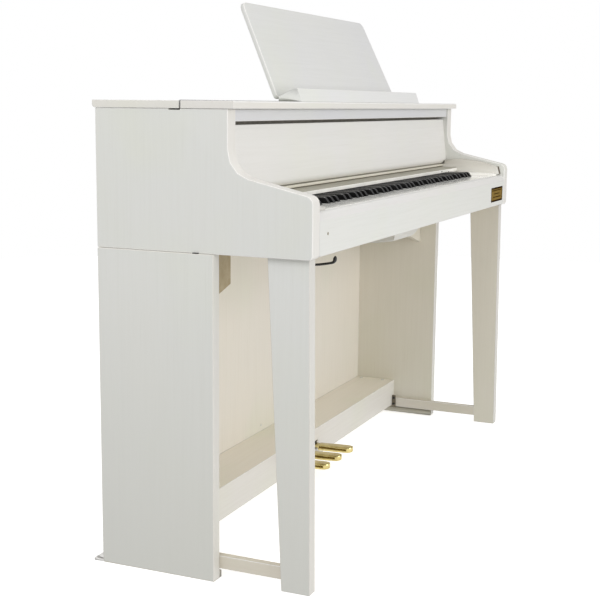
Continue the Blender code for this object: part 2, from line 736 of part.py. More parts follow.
def block_outline(pivot):
    wall = ROD_RADIUS + GAP + SADDLE_WALL
    return rectangle((pivot - wall, pivot + wall), (BED_TOP + FRAME_SHEET / 2, PIVOT_HEIGHT))


def make_key_frame():
    base = BED_TOP + GAP
    sheet = base + FRAME_SHEET
    outline = [(FRAME_FRONT, base), (FRAME_REAR, base), (FRAME_REAR, sheet)]
    for rail in (BLACK_STOP, WHITE_STOP):
        outline += [(rail + STOP_RAIL_WIDTH / 2, sheet), (rail + STOP_RAIL_WIDTH / 2, STOP_RAIL_TOP),
                    (rail - STOP_RAIL_WIDTH / 2, STOP_RAIL_TOP), (rail - STOP_RAIL_WIDTH / 2, sheet)]
    outline += [(FRAME_FRONT, sheet)]
    frame = add_piece("key_frame", prism(outline, "X", -FRAME_HALF, FRAME_HALF), "steel")

    # White rods are held in the slots between white tails, black rods under the tails of D and A
    middle_end = MIDDLE_FIRST + MIDDLE_COUNT
    saddles = bmesh.new()
    for index in range(WHITE_COUNT - 1):
        fixed = MIDDLE_FIRST <= index < middle_end
        places = []
        if letter(index) in "CA":
            places.append((WHITE_PIVOT, black_centre(index)))
        if letter(index) in "DA" and 0 < index:
            places.append((BLACK_PIVOT, sum(tail_span(index)) / 2))
        for pivot, x in places:
            shape = block_outline(pivot) if fixed else saddle_outline(pivot)
            add_prism(saddles, shape, "X", x - SADDLE_WIDTH / 2, x + SADDLE_WIDTH / 2)
    join(frame, saddles)
    blacks = black_indices(MIDDLE_FIRST, middle_end)
    spans = ((WHITE_PIVOT, tail_span(MIDDLE_FIRST)[0], tail_span(middle_end - 1)[1]),
             (BLACK_PIVOT, black_span(blacks[0])[0], black_span(blacks[-1])[1]))
    for pivot, start, end in spans:
        join(frame, rod("X", (pivot, PIVOT_HEIGHT), ROD_RADIUS, start + KEY_GAP, end - KEY_GAP, sides=12))


# Pieces round the keyboard

def cover_height(y):
    return COVER_UNDERSIDE + (y - COVER_FRONT) * math.tan(COVER_SLOPE)


def flange_outline(offset):
    return [(GUIDE_START, cover_height(GUIDE_START) + offset),
            (GUIDE_END, cover_height(GUIDE_END) + offset),
            (GUIDE_END, cover_height(GUIDE_END) + offset + GUIDE_FLANGE),
            (GUIDE_START, cover_height(GUIDE_START) + offset + GUIDE_FLANGE)]


# The lining stands between the keys and the arm, and runs on behind the slanted panel as the guide
# in which the edge of the key cover slides
def make_linings():
    base = BED_TOP + GAP
    slip_top = SLIP_TOP + GAP
    under_panel = PANEL_BOTTOM - LINING_TUCK
    rear = PANEL_FRONT - GAP
    outline = [(SLIP_THICKNESS + GAP, base), (SLIP_THICKNESS + GAP, slip_top),
               (SLIP_THICKNESS - LINING_LAP, slip_top)]
    outline += arc_through(*((y, WHITE_TOP + rise) for y, rise in (*LINING_ARCH, (rear, LINING_END_RISE))))
    outline += [(rear, under_panel), (GUIDE_START, under_panel),
                (GUIDE_START, cover_height(GUIDE_START) + GUIDE_WEB_RISE),
                (GUIDE_END, cover_height(GUIDE_END) + GUIDE_WEB_RISE),
                (GUIDE_END, cover_height(GUIDE_END) - GUIDE_WEB_DROP),
                (RAIL_REAR, cover_height(RAIL_REAR) - GUIDE_WEB_DROP), (RAIL_REAR, base)]
    lower = -RUN_GAP - GUIDE_FLANGE
    upper = COVER_UPRIGHT + RUN_GAP
    for side, sign in SIDES:
        inner, outer = mirrored(sign, LINING_INNER, BETWEEN)
        lining = add_piece("cheek_lining_" + side, prism(outline, "X", inner, outer), "cream_lining")
        reach = mirrored(sign, LINING_INNER - GUIDE_REACH, LINING_INNER + BOARD_EDGE)
        flanges = bmesh.new()
        for offset in (lower, upper):
            add_prism(flanges, flange_outline(offset), "X", *reach)
        join(lining, flanges)


def make_key_blocks():
    rail_seat = RAIL_UNDERSIDE - GAP
    outline = rounded([
        (SLIP_THICKNESS + GAP, BED_TOP + GAP, 0),
        (RAIL_REAR, BED_TOP + GAP, 0),
        (RAIL_REAR, rail_seat, 0),
        (RAIL_FRONT, rail_seat, 0),
        (RAIL_FRONT, BLOCK_TOP, 0),
        (SLIP_THICKNESS + GAP, BLOCK_TOP, BOARD_EDGE)])
    for side, sign in SIDES:
        inner, outer = mirrored(sign, BLOCK_INNER, LINING_INNER - GAP)
        block = add_piece("key_block_" + side, prism(outline, "X", inner, outer), "pale_board")
        if side == "left":
            half_x = SLIDER_STEM[0] + RUN_GAP
            half_y = SLIDER_STEM[1] + SLIDER_TRAVEL + RUN_GAP
            cut(block, boxes(((SLIDER_X - half_x, SLIDER_X + half_x),
                              (SLIDER_Y - half_y, SLIDER_Y + half_y),
                              (BLOCK_TOP - SLIDER_SLOT_DEPTH, BLOCK_TOP + OVERCUT))))


def make_volume_slider():
    stem = [(SLIDER_X - SLIDER_STEM[0], SLIDER_X + SLIDER_STEM[0]),
            (SLIDER_Y - SLIDER_STEM[1], SLIDER_Y + SLIDER_STEM[1]),
            (BLOCK_TOP - SLIDER_SLOT_DEPTH + RUN_GAP, BLOCK_TOP + RUN_GAP + SLIDER_CAP[2] / 2)]
    width, length, height = SLIDER_CAP
    cap = boxes(((SLIDER_X - width / 2, SLIDER_X + width / 2), (SLIDER_Y - length / 2, SLIDER_Y + length / 2),
                 (BLOCK_TOP + RUN_GAP, BLOCK_TOP + RUN_GAP + height)))
    slider = add_piece("volume_slider", cap, "black_plastic", origin=(SLIDER_X, SLIDER_Y, BLOCK_TOP))
    round_edges(slider, width=CAP_EDGE, segments=1)
    join(slider, boxes(stem))


def make_control_rail():
    outline = rounded([
        (RAIL_FRONT, RAIL_UNDERSIDE, RAIL_EDGE),
        (RAIL_REAR, RAIL_UNDERSIDE, 0),
        (RAIL_REAR, cover_height(RAIL_REAR) - RAIL_CLEARANCE, 0),
        (RAIL_FRONT, cover_height(RAIL_FRONT) - RAIL_CLEARANCE, FINE_EDGE)])
    half = LINING_INNER - GAP
    rail = add_piece("control_rail", prism(outline, "X", -half, half), "cream_lining")
    middle = (RAIL_UNDERSIDE + cover_height(RAIL_FRONT) - RAIL_CLEARANCE) / 2
    bore_end = RAIL_FRONT - BUTTON_PROUD + BUTTON_LENGTH + 2 * BUTTON_PROUD
    cut(rail, rod("Y", (BUTTON_X, middle), BUTTON_RADIUS + GAP, RAIL_FRONT - OVERCUT, bore_end, sides=16))
    button = rod("Y", (BUTTON_X, middle), BUTTON_RADIUS, RAIL_FRONT - BUTTON_PROUD,
                 RAIL_FRONT - BUTTON_PROUD + BUTTON_LENGTH, sides=16)
    piece = add_piece("power_button", button, "black_plastic", origin=(BUTTON_X, RAIL_FRONT, middle))
    round_edges(piece, width=BUTTON_EDGE, segments=1)


def make_key_cover():
    outline = rounded([
        (0.0, 0.0, COVER_LOWER_ROUND),
        (COVER_LENGTH, 0.0, 0),
        (COVER_LENGTH, COVER_THICKNESS, 0),
        (0.0, COVER_THICKNESS, COVER_UPPER_ROUND)])
    add_piece("key_cover", prism(outline, "X", -COVER_HALF, COVER_HALF), "pale_board",
              origin=(0, COVER_FRONT, COVER_UNDERSIDE), lean=COVER_SLOPE)


# Music desk

def make_ledge():
    seat = LID_TOP + GAP
    outline = rounded([
        (LEDGE_FRONT, seat, 0),
        (LEDGE_REAR, seat, 0),
        (LEDGE_REAR, LID_TOP + LEDGE_HEEL, FINE_EDGE),
        (LEDGE_FRONT + LEDGE_SHOULDER[0], LID_TOP + LEDGE_SHOULDER[1], LEDGE_ROUND),
        (LEDGE_FRONT + LEDGE_CREST[0], LID_TOP + LEDGE_CREST[1], LEDGE_ROUND)])
    ledge = add_piece("desk_ledge", prism(outline, "X", -LEDGE_HALF, LEDGE_HALF), "pale_board",
                      origin=(0, SEAM, LID_TOP))
    root = LEDGE_REAR - DESK_LUG_ROOT
    lug = [(root, seat), (DESK_AXIS[0] + DESK_LUG_RADIUS, seat)]
    lug += arc(DESK_AXIS, DESK_LUG_RADIUS, 0, math.radians(120), math.radians(30))
    lug += [(root, DESK_AXIS[1] - DESK_PIN_RADIUS)]
    lugs = bmesh.new()
    for _, sign in SIDES:
        middle = sign * DESK_HINGE_X
        add_prism(lugs, lug, "X", middle - DESK_LUG_WIDTH / 2, middle + DESK_LUG_WIDTH / 2)
    join(ledge, lugs)
    cut(ledge, rod("X", DESK_AXIS, DESK_PIN_RADIUS + GAP, -LEDGE_HALF, LEDGE_HALF, sides=12))


# The desk leans back on its pins, which cross two notches in its lower edge
def make_desk():
    outline = []
    foot = -DESK_FOOT
    notch_half = DESK_LUG_WIDTH / 2 + DESK_NOTCH_GAP
    for _, sign in SIDES:
        near = sign * DESK_HINGE_X - notch_half
        far = sign * DESK_HINGE_X + notch_half
        outline += [(near, foot, 0), (near, DESK_NOTCH_HEIGHT, 0), (far, DESK_NOTCH_HEIGHT, 0), (far, foot, 0)]
    top = foot + DESK_HEIGHT
    outline += [(DESK_HALF_BOTTOM, foot, DESK_FOOT_CORNER), (DESK_HALF_TOP, top, DESK_TOP_CORNER),
                (-DESK_HALF_TOP, top, DESK_TOP_CORNER), (-DESK_HALF_BOTTOM, foot, DESK_FOOT_CORNER)]
    panel = prism(rounded(outline), "Y", -DESK_THICKNESS / 2, DESK_THICKNESS / 2)
    desk = add_piece("music_desk", panel, "pale_board", origin=(0, *DESK_AXIS), lean=-DESK_LEAN)
    round_edges(desk, width=DESK_EDGE, segments=1)
    pins = bmesh.new()
    circle = arc(DESK_AXIS, DESK_PIN_RADIUS, 0, math.tau, math.tau / 12)[:-1]
    for _, sign in SIDES:
        middle = sign * DESK_HINGE_X
        reach = notch_half + DESK_PIN_RADIUS
        add_prism(pins, circle, "X", middle - reach, middle + reach)
    join(desk, pins)


# Stand

def make_legs():
    outline = [(LEG_FOOT[0], 0.0), (LEG_FOOT[1], 0.0), (LEG_HEAD[1], STAND_TOP), (LEG_HEAD[0], STAND_TOP)]
    for side, sign in SIDES:
        inner, outer = mirrored(sign, LEG_OUTER - LEG_THICKNESS, LEG_OUTER)
        leg = add_piece("leg_" + side, prism(outline, "X", inner, outer), "pale_board")
        round_edges(leg)


def leg_rear(height):
    return LEG_FOOT[1] + (LEG_HEAD[1] - LEG_FOOT[1]) * height / STAND_TOP


def make_stretchers():
    top = STRETCHER_BOTTOM + STRETCHER_HEIGHT
    outline = [(leg_rear(STRETCHER_BOTTOM) + GAP, STRETCHER_BOTTOM), (BOX_FRONT - GAP, STRETCHER_BOTTOM),
               (BOX_FRONT - GAP, top), (leg_rear(top) + GAP, top)]
    for side, sign in SIDES:
        outer = LOWER_INNER - GAP
        span = mirrored(sign, outer - STRETCHER_THICKNESS, outer)
        rail = add_piece("foot_rail_" + side, prism(outline, "X", *span), "pale_board")
        round_edges(rail, width=FINE_EDGE, segments=1)


def make_lower_sides():
    panel_outline = rectangle((LOWER_FRONT, LOWER_REAR), (FOOT_HEIGHT + GAP, STAND_TOP))
    groove_top = FOOT_SOLE + FOOT_GROOVE
    upper_rear = FOOT_REAR - FOOT_STEP
    plate_outline = [(FOOT_FRONT, 0.0), (FOOT_REAR, 0.0), (FOOT_REAR, FOOT_SOLE),
                     (FOOT_REAR - FOOT_TOE, FOOT_SOLE), (FOOT_REAR - FOOT_TOE, groove_top),
                     (upper_rear, groove_top), (upper_rear - FOOT_SLOPE, FOOT_HEIGHT),
                     (FOOT_FRONT, FOOT_HEIGHT)]
    for side, sign in SIDES:
        inner, outer = mirrored(sign, LOWER_INNER, STAND_HALF)
        panel = add_piece("lower_side_panel_" + side, prism(panel_outline, "X", inner, outer), "pale_board")
        round_edges(panel)
        foot = mirrored(sign, STAND_HALF - FOOT_WIDTH, STAND_HALF)
        add_piece("foot_plate_" + side, prism(plate_outline, "X", *foot), "pale_board")


def make_gussets():
    for side, sign in SIDES:
        outer = LOWER_INNER - GAP
        inner = outer - GUSSET_REACH
        under_side = SIDE_BOTTOM - GAP
        under_bed = BED_BOTTOM - GAP
        corners = [(outer, under_side - GUSSET_OUTER_HEIGHT), (outer, under_side),
                   (BETWEEN - GAP, under_side), (BETWEEN - GAP, under_bed),
                   (inner, under_bed), (inner, under_side - GUSSET_INNER_HEIGHT)]
        outline = [(sign * x, z) for x, z in corners]
        cleat = add_piece("corner_gusset_" + side,
                          prism(outline, "Y", GUSSET_FRONT, GUSSET_FRONT + GUSSET_THICKNESS), "back_board")
        round_edges(cleat, width=FINE_EDGE, segments=1)


def make_lower_back():
    half = LOWER_INNER - GAP
    panel = boxes(((-half, half), (BACK_FRONT, BACK_FRONT + LOWER_BACK_THICKNESS),
                   (LOWER_BACK_BOTTOM, STAND_TOP)))
    add_piece("lower_back_panel", panel, "back_board")


# Pedals

def pedal_places():
    return (("left", -PEDAL_PITCH), ("middle", 0.0), ("right", PEDAL_PITCH))


def make_pedal_box():
    half = LOWER_INNER - GAP
    box = add_piece("pedal_box", boxes(((-half, half), (BOX_FRONT, BOX_REAR), (BOX_BOTTOM, BOX_TOP))), "pale_board")
    round_edges(box, width=FINE_EDGE, segments=1)
    hollow = ((-half + BOX_WALL, half - BOX_WALL), (BOX_FRONT + BOX_WALL, BOX_REAR + OVERCUT),
              (BOX_BOTTOM + BOX_WALL, BOX_TOP - BOX_WALL))
    drop = (PEDAL_PIVOT - BOX_FRONT) * math.sin(PEDAL_TRAVEL)
    slot_z = (PEDAL_HEIGHT - PEDAL_THICKNESS / 2 - drop - 2 * SLOT_MARGIN,
              PEDAL_HEIGHT + PEDAL_THICKNESS / 2 + SLOT_MARGIN)
    slot_half = PEDAL_SHANK / 2 + SLOT_SIDE
    slots = [((x - slot_half, x + slot_half), (BOX_FRONT - OVERCUT, BOX_FRONT + BOX_WALL + OVERCUT), slot_z)
             for _, x in pedal_places()]
    cut(box, boxes(hollow))
    cut(box, boxes(*slots))


def make_pedal_bracket():
    plate_top = BOX_BOTTOM + BOX_WALL + GAP + BRACKET_PLATE
    reach = 1.5 * PEDAL_PITCH
    plate = boxes(((-reach, reach), (PEDAL_PIVOT - BRACKET_DEPTH / 2, PEDAL_PIVOT + BRACKET_DEPTH / 2),
                   (plate_top - BRACKET_PLATE, plate_top)))
    bracket = add_piece("pedal_bracket", plate, "steel")
    crest = AXLE_RADIUS * 2
    lug = [(PEDAL_PIVOT - 2 * crest, plate_top - BRACKET_PLATE / 2),
           (PEDAL_PIVOT + 2 * crest, plate_top - BRACKET_PLATE / 2)]
    lug += arc((PEDAL_PIVOT, PEDAL_HEIGHT), crest, 0, math.pi, math.radians(30))
    lugs = bmesh.new()
    for i in range(4):
        x = (i - 1.5) * PEDAL_PITCH * (1 - BRACKET_LUG / reach / 2)
        add_prism(lugs, lug, "X", x - BRACKET_LUG / 2, x + BRACKET_LUG / 2)
    join(bracket, lugs)
    join(bracket, rod("X", (PEDAL_PIVOT, PEDAL_HEIGHT), AXLE_RADIUS, -reach, reach, sides=12))


def make_pedals():
    tip = PEDAL_WIDTH / 2
    neck_front, neck_rear = (BOX_FRONT - reach for reach in PEDAL_NECK)
    for side, x in pedal_places():
        outline = [(x + a, b) for a, b in arc((0.0, PEDAL_TIP + tip), tip, -math.pi, 0, math.radians(20))]
        outline += [(x + tip, neck_front), (x + PEDAL_SHANK / 2, neck_rear),
                    (x + PEDAL_SHANK / 2, PEDAL_TAIL), (x - PEDAL_SHANK / 2, PEDAL_TAIL),
                    (x - PEDAL_SHANK / 2, neck_rear), (x - tip, neck_front)]
        low = PEDAL_HEIGHT - PEDAL_THICKNESS / 2
        pedal = add_piece("pedal_" + side, prism(outline, "Z", low, low + PEDAL_THICKNESS), "brass",
                          origin=(x, PEDAL_PIVOT, PEDAL_HEIGHT))
        round_edges(pedal, width=PEDAL_EDGE, segments=2)
        cut(pedal, rod("X", (PEDAL_PIVOT, PEDAL_HEIGHT), AXLE_RADIUS + GAP, x - PEDAL_SHANK,
                       x + PEDAL_SHANK, sides=12))


# Housing, hook, inlet and circuit board

def housing_ring(share):
    mouth = BED_BOTTOM - GAP
    low = mouth - POD_DEPTH * share
    rim = POD_RIM * share
    front, rear = POD_MOUTH
    front_low, rear_low = front + POD_INSET, rear - POD_INSET
    ring = [(front, mouth), (front_low, low + rim), (front_low + rim / 3, low + rim / 3), (front_low + rim, low)]
    for part in (0.25, 0.5, 0.75):
        ring.append((front_low + rim + (rear_low - front_low - 2 * rim) * part,
                     low - POD_CROWN * share * (1 - (2 * part - 1) ** 2)))
    return ring + [(rear_low - rim, low), (rear_low - rim / 3, low + rim / 3), (rear_low, low + rim), (rear, mouth)]


# The housing has a crowned underside and grows shallower towards the right
def make_housing():
    mesh = bmesh.new()
    rings = [[mesh.verts.new((POD_LEFT + x, y, z)) for y, z in housing_ring(share)] for x, share in POD_STATIONS]
    for near, far in zip(rings, rings[1:]):
        for i in range(len(near)):
            mesh.faces.new((near[i - 1], near[i], far[i], far[i - 1]))
    mesh.faces.new(rings[0])
    mesh.faces.new(rings[-1])
    bmesh.ops.recalc_face_normals(mesh, faces=mesh.faces)
    add_piece("speaker_housing", mesh, "white_plastic")


def make_hook():
    curve = bpy.data.curves.new("headphone_hook", "CURVE")
    curve.dimensions = "3D"
    curve.bevel_depth = HOOK_ROD
    curve.bevel_resolution = 2
    curve.use_fill_caps = True
    curve.render_resolution_u = 0
    path = curve.splines.new("POLY")
    path.points.add(len(HOOK_PATH) - 1)
    start, top, _ = HOOK_PATH[0]
    for point, (y, drop, radius) in zip(path.points, HOOK_PATH):
        point.co = (0, y - start, top - drop, 1)
        point.radius = radius / HOOK_ROD
    curve.materials.append(look("black_plastic"))
    hook = bpy.data.objects.new("headphone_hook", curve)
    bpy.context.scene.collection.objects.link(hook)
    hook.parent = cabinet
    hook.location = (HOOK_X, start, BED_BOTTOM - top)


def make_inlet():
    half_x, half_z = (size / 2 for size in INLET_SIZE)
    face = BACK_FRONT + BACK_THICKNESS
    body = add_piece("power_inlet", boxes(((INLET_X - half_x, INLET_X + half_x),
                                           (face + GAP - INLET_DEPTH, face + GAP + INLET_PROUD),
                                           (INLET_Z - half_z, INLET_Z + half_z))), "black_plastic")
    join(body, boxes(((INLET_X - half_x - INLET_FLANGE, INLET_X + half_x + INLET_FLANGE),
                      (face + GAP, face + GAP + INLET_FLANGE_THICKNESS),
                      (INLET_Z - half_z - INLET_FLANGE, INLET_Z + half_z + INLET_FLANGE))))
    cut(body, rod("Y", (INLET_X, INLET_Z), INLET_BORE, face - INLET_BORE_DEPTH, face + OVERCUT))


def make_circuit():
    foot = BED_TOP + GAP
    board = foot + CIRCUIT_HEIGHT
    front = CIRCUIT_REAR - CIRCUIT_DEPTH
    sheet = boxes((CIRCUIT_X, (front, CIRCUIT_REAR), (board, board + CIRCUIT_THICKNESS)))
    piece = add_piece("circuit_board", sheet, "circuit")
    posts = [((x - POST_HALF, x + POST_HALF), (y - POST_HALF, y + POST_HALF), (foot, board + CIRCUIT_THICKNESS / 2))
             for x in (CIRCUIT_X[0] + POST_INSET, CIRCUIT_X[1] - POST_INSET)
             for y in (front + POST_INSET, CIRCUIT_REAR - POST_INSET)]
    chips = [((CIRCUIT_X[0] + place, CIRCUIT_X[0] + place + CHIP_SIZE), (front + CHIP_FRONT, front + CHIP_FRONT + CHIP_SIZE),
              (board + CIRCUIT_THICKNESS / 2, board + CIRCUIT_THICKNESS + CHIP_HEIGHT))
             for place in CHIP_PLACES]
    join(piece, boxes(*posts, *chips))


clear_scene()
cabinet = bpy.data.objects.new("cabinet", None)
bpy.context.scene.collection.objects.link(cabinet)
cabinet.location = (0, -DEPTH / 2, 0)
make_side_panels()
make_lid()
make_upper_panels()
make_key_bed()
make_keys()
make_key_frame()
make_linings()
make_key_blocks()
make_volume_slider()
make_control_rail()
make_key_cover()
make_ledge()
make_desk()
make_legs()
make_stretchers()
make_lower_sides()
make_gussets()
make_lower_back()
make_pedal_box()
make_pedal_bracket()
make_pedals()
make_housing()
make_hook()
make_inlet()
make_circuit()
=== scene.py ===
import json
import math

import bpy
from mathutils import Matrix, Vector

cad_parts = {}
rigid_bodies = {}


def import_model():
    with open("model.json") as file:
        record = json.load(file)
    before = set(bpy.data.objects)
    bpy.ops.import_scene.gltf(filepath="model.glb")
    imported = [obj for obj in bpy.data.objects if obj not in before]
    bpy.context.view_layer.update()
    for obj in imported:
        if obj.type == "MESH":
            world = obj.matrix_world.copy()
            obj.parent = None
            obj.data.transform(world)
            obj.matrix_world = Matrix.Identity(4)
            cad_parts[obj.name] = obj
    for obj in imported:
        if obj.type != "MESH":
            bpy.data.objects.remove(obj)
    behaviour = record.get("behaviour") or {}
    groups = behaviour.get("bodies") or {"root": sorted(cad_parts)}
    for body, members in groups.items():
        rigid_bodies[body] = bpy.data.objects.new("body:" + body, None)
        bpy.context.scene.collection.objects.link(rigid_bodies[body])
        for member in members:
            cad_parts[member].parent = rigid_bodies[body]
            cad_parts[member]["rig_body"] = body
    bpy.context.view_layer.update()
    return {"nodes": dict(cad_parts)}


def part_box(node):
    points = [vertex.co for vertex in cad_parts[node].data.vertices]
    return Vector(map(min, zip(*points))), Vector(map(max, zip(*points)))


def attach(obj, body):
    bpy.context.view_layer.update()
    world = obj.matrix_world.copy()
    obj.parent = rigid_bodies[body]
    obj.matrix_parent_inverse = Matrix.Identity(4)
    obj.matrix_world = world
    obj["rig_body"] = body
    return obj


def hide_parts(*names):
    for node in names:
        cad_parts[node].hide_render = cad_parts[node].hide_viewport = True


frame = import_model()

nodes = frame["nodes"]
print("frame loaded:", len(nodes), "nodes")

cameraView = {
    "place": (-2.6712, -1.0745, 0.9274),
    "right": (0.4023, -0.9155, 0.0095),
    "up": (0.1457, 0.0742, 0.9866),
    "lens": 71.208,  # on a 36 mm sensor
}

studio = {
    "floorRadius": 4.5,
    "floorTone": (0.95, 0.95, 0.945, 1),
    "floorGlow": 0.52,  # the floor is lit from below too
    "skyLight": 0.59,  # what the sky gives the piano
    "skyShown": 1.0,  # what the camera sees behind it
    "ceiling": (0.45, 80),  # strength and spread in degrees of the light from above
    "softboxes": [  # place, what it looks at, size, watts, tone
        ((-0.9, -4.4, 1.4), (0, 0, 0.9), 3.0, 100, (1, 0.995, 0.985)),
        ((-2.9, 0.1, 2.5), (-0.7, 0, 1.0), 1.6, 32, (1, 1, 1)),
    ],
}


def makeCamera():
    data = bpy.data.cameras.new("photoCamera")
    camera = bpy.data.objects.new("photoCamera", data)
    bpy.context.scene.collection.objects.link(camera)
    data.lens = cameraView["lens"]
    data.sensor_width = 36
    data.clip_end = 100
    right = Vector(cameraView["right"]).normalized()
    back = right.cross(Vector(cameraView["up"])).normalized()
    up = back.cross(right)
    camera.matrix_world = Matrix.Translation(cameraView["place"]) @ Matrix((right, up, back)).transposed().to_4x4()
    bpy.context.scene.camera = camera


def makeStudio():
    world = bpy.data.worlds.new("paleStudio")
    world.use_nodes = True
    tree = world.node_tree
    sky = tree.nodes["Background"]
    sky.inputs["Color"].default_value = (1, 1, 1, 1)
    seen = tree.nodes.new("ShaderNodeLightPath")
    level = tree.nodes.new("ShaderNodeMapRange")
    level.inputs["To Min"].default_value = studio["skyLight"]
    level.inputs["To Max"].default_value = studio["skyShown"]
    tree.links.new(seen.outputs["Is Camera Ray"], level.inputs["Value"])
    tree.links.new(level.outputs["Result"], sky.inputs["Strength"])
    bpy.context.scene.world = world
    ceiling = bpy.data.lights.new("ceiling", "SUN")
    ceiling.energy, ceiling.angle = studio["ceiling"][0], math.radians(studio["ceiling"][1])
    bpy.context.scene.collection.objects.link(bpy.data.objects.new("ceiling", ceiling))
    for number, (place, target, size, watts, tone) in enumerate(studio["softboxes"]):
        data = bpy.data.lights.new("softbox%d" % number, "AREA")
        data.size, data.energy, data.color = size, watts, tone
        lamp = bpy.data.objects.new("softbox%d" % number, data)
        bpy.context.scene.collection.objects.link(lamp)
        lamp.location = place
        lamp.rotation_euler = (Vector(target) - Vector(place)).to_track_quat("-Z", "Y").to_euler()
    bpy.context.scene.view_settings.view_transform = "Standard"


makeCamera()
makeStudio()
print("camera and studio ready")


class Reading:  # an output of a material, so that sums on it are written as sums
    def __init__(self, finish, socket):
        self.finish, self.socket = finish, socket

    def work(self, operation, other, turned=False):
        first, second = (other, self) if turned else (self, other)
        return self.finish.add("ShaderNodeMath", {"operation": operation}, {0: first, 1: second})

    def __add__(self, other):
        return self.work("ADD", other)

    def __sub__(self, other):
        return self.work("SUBTRACT", other)

    def __rsub__(self, other):
        return self.work("SUBTRACT", other, True)

    def __mul__(self, other):
        return self.work("MULTIPLY", other)

    def __lt__(self, other):
        return self.work("LESS_THAN", other)

    __radd__, __rmul__ = __add__, __mul__


class Finish:  # one material, with the nodes behind it
    def __init__(self, name, fixed):
        self.material = bpy.data.materials.new(name)
        self.material.use_nodes = True
        self.tree = self.material.node_tree
        self.shader = self.tree.nodes["Principled BSDF"]
        for socket, value in fixed.items():
            self.shader.inputs[socket].default_value = value
        self.place = self.add("ShaderNodeTexCoord", output="Object")

    def add(self, kind, settings=None, values=None, output=0):
        made = self.tree.nodes.new(kind)
        for name, value in (settings or {}).items():
            setattr(made, name, value)
        for name, value in (values or {}).items():
            if isinstance(value, Reading):
                self.tree.links.new(value.socket, made.inputs[name])
            else:
                made.inputs[name].default_value = value
        return Reading(self, made.outputs[output])

    def along(self, axis):  # the place along one axis, in metres
        return self.add("ShaderNodeSeparateXYZ", {}, {0: self.place}, "XYZ".index(axis))

    def noise(self, scale, detail=2, stretch=(1, 1, 1), roughness=0.5):
        where = self.add("ShaderNodeMapping", {}, {"Vector": self.place, "Scale": stretch})
        return self.add("ShaderNodeTexNoise", {}, {"Vector": where, "Scale": scale, "Detail": detail, "Roughness": roughness})

    def spread(self, reading, low, high, bottom=0, top=1):  # low to high becomes bottom to top
        return self.add("ShaderNodeMapRange", {}, {0: reading, 1: low, 2: high, 3: bottom, 4: top})

    def mix(self, mask, low, high):
        return self.add("ShaderNodeMix", {"data_type": "RGBA"}, {0: mask, 6: low, 7: high}, 2)

    def bump(self, height, strength, distance):
        return self.add("ShaderNodeBump", {}, {"Height": height, "Strength": strength, "Distance": distance})

    def wear(self, **sockets):
        for socket, reading in sockets.items():
            self.tree.links.new(reading.socket, self.shader.inputs[socket.replace("_", " ")])
        return self.material


def tone(red, green, blue):  # screen values from 0 to 255
    return tuple(((c / 255 + 0.055) / 1.055) ** 2.4 for c in (red, green, blue)) + (1,)


def stretched(axis, across, along):  # a pattern drawn out along one axis
    return [along if letter == axis else across for letter in "XYZ"]


boardTones = {  # two base tones that drift into each other, a third in patches, and the streaks
    "outer": (tone(219, 219, 214), tone(217, 218, 215), tone(218, 219, 211), tone(206, 206, 199)),
    "band": (tone(224, 221, 214), tone(222, 220, 216), tone(222, 221, 211), tone(210, 206, 197)),
    # painted bounce light: inner faces take warmer tones, standing in for warm light bounced between the boards
    "inner": (tone(222, 217, 204), tone(220, 216, 203), tone(218, 215, 199), tone(208, 202, 186)),
    # painted light: the slanted panel's tones are lighter than the outer boards', to make up for the shade under the
    # lid
    "front": (tone(227, 225, 221), tone(225, 224, 221), tone(226, 225, 218), tone(214, 212, 205)),
    "fore": (tone(223, 220, 214), tone(221, 219, 215), tone(221, 220, 211), tone(209, 205, 197)),
    "legBand": (tone(209, 206, 200), tone(207, 205, 200), tone(207, 206, 197), tone(196, 193, 185)),
    # painted light: the pedal box's top takes a lighter tone than its front, a lit copy of the same board against the
    # shade under the key bed
    "boxTop": (tone(242, 236, 223), tone(239, 234, 223), tone(238, 235, 219), tone(228, 220, 206)),
    "boxFront": (tone(221, 217, 209), tone(219, 216, 209), tone(219, 217, 205), tone(208, 202, 192)),
    "ledge": (tone(222, 222, 219), tone(220, 220, 220), tone(221, 222, 216), tone(211, 211, 207)),
    "rail": (tone(215, 215, 216), tone(212, 212, 216), tone(215, 216, 213), tone(205, 205, 204)),
    "back": (tone(226, 220, 208), tone(223, 218, 208), tone(222, 219, 205), tone(213, 206, 192)),
    "desk": (tone(213, 213, 210), tone(211, 211, 211), tone(212, 213, 207), tone(202, 202, 198)),
    # painted shade: the foot plates' tones are darker, for the shade they stand in
    "foot": (tone(192, 187, 171), tone(188, 184, 170), tone(188, 186, 167), tone(172, 165, 148)),
    "footRail": (tone(216, 209, 195), tone(213, 207, 195), tone(212, 207, 190), tone(202, 193, 177)),
    # painted shade: the key slip's top and rounding take a darker tone than its front, against the light that falls on
    # them from above
    "slipTop": (tone(218, 216, 213), tone(216, 215, 214), tone(217, 216, 210), tone(207, 204, 199)),
}
boardLooks = {
    "patchScale": 2.2,
    "streakWidth": 150.0,  # repeats in a metre across the grain
    "streakLength": 5.0,
    "poreWidth": 620.0,
    "streakShare": 0.22,
    "roughness": (0.40, 0.56),
    "bump": 0.18,
}


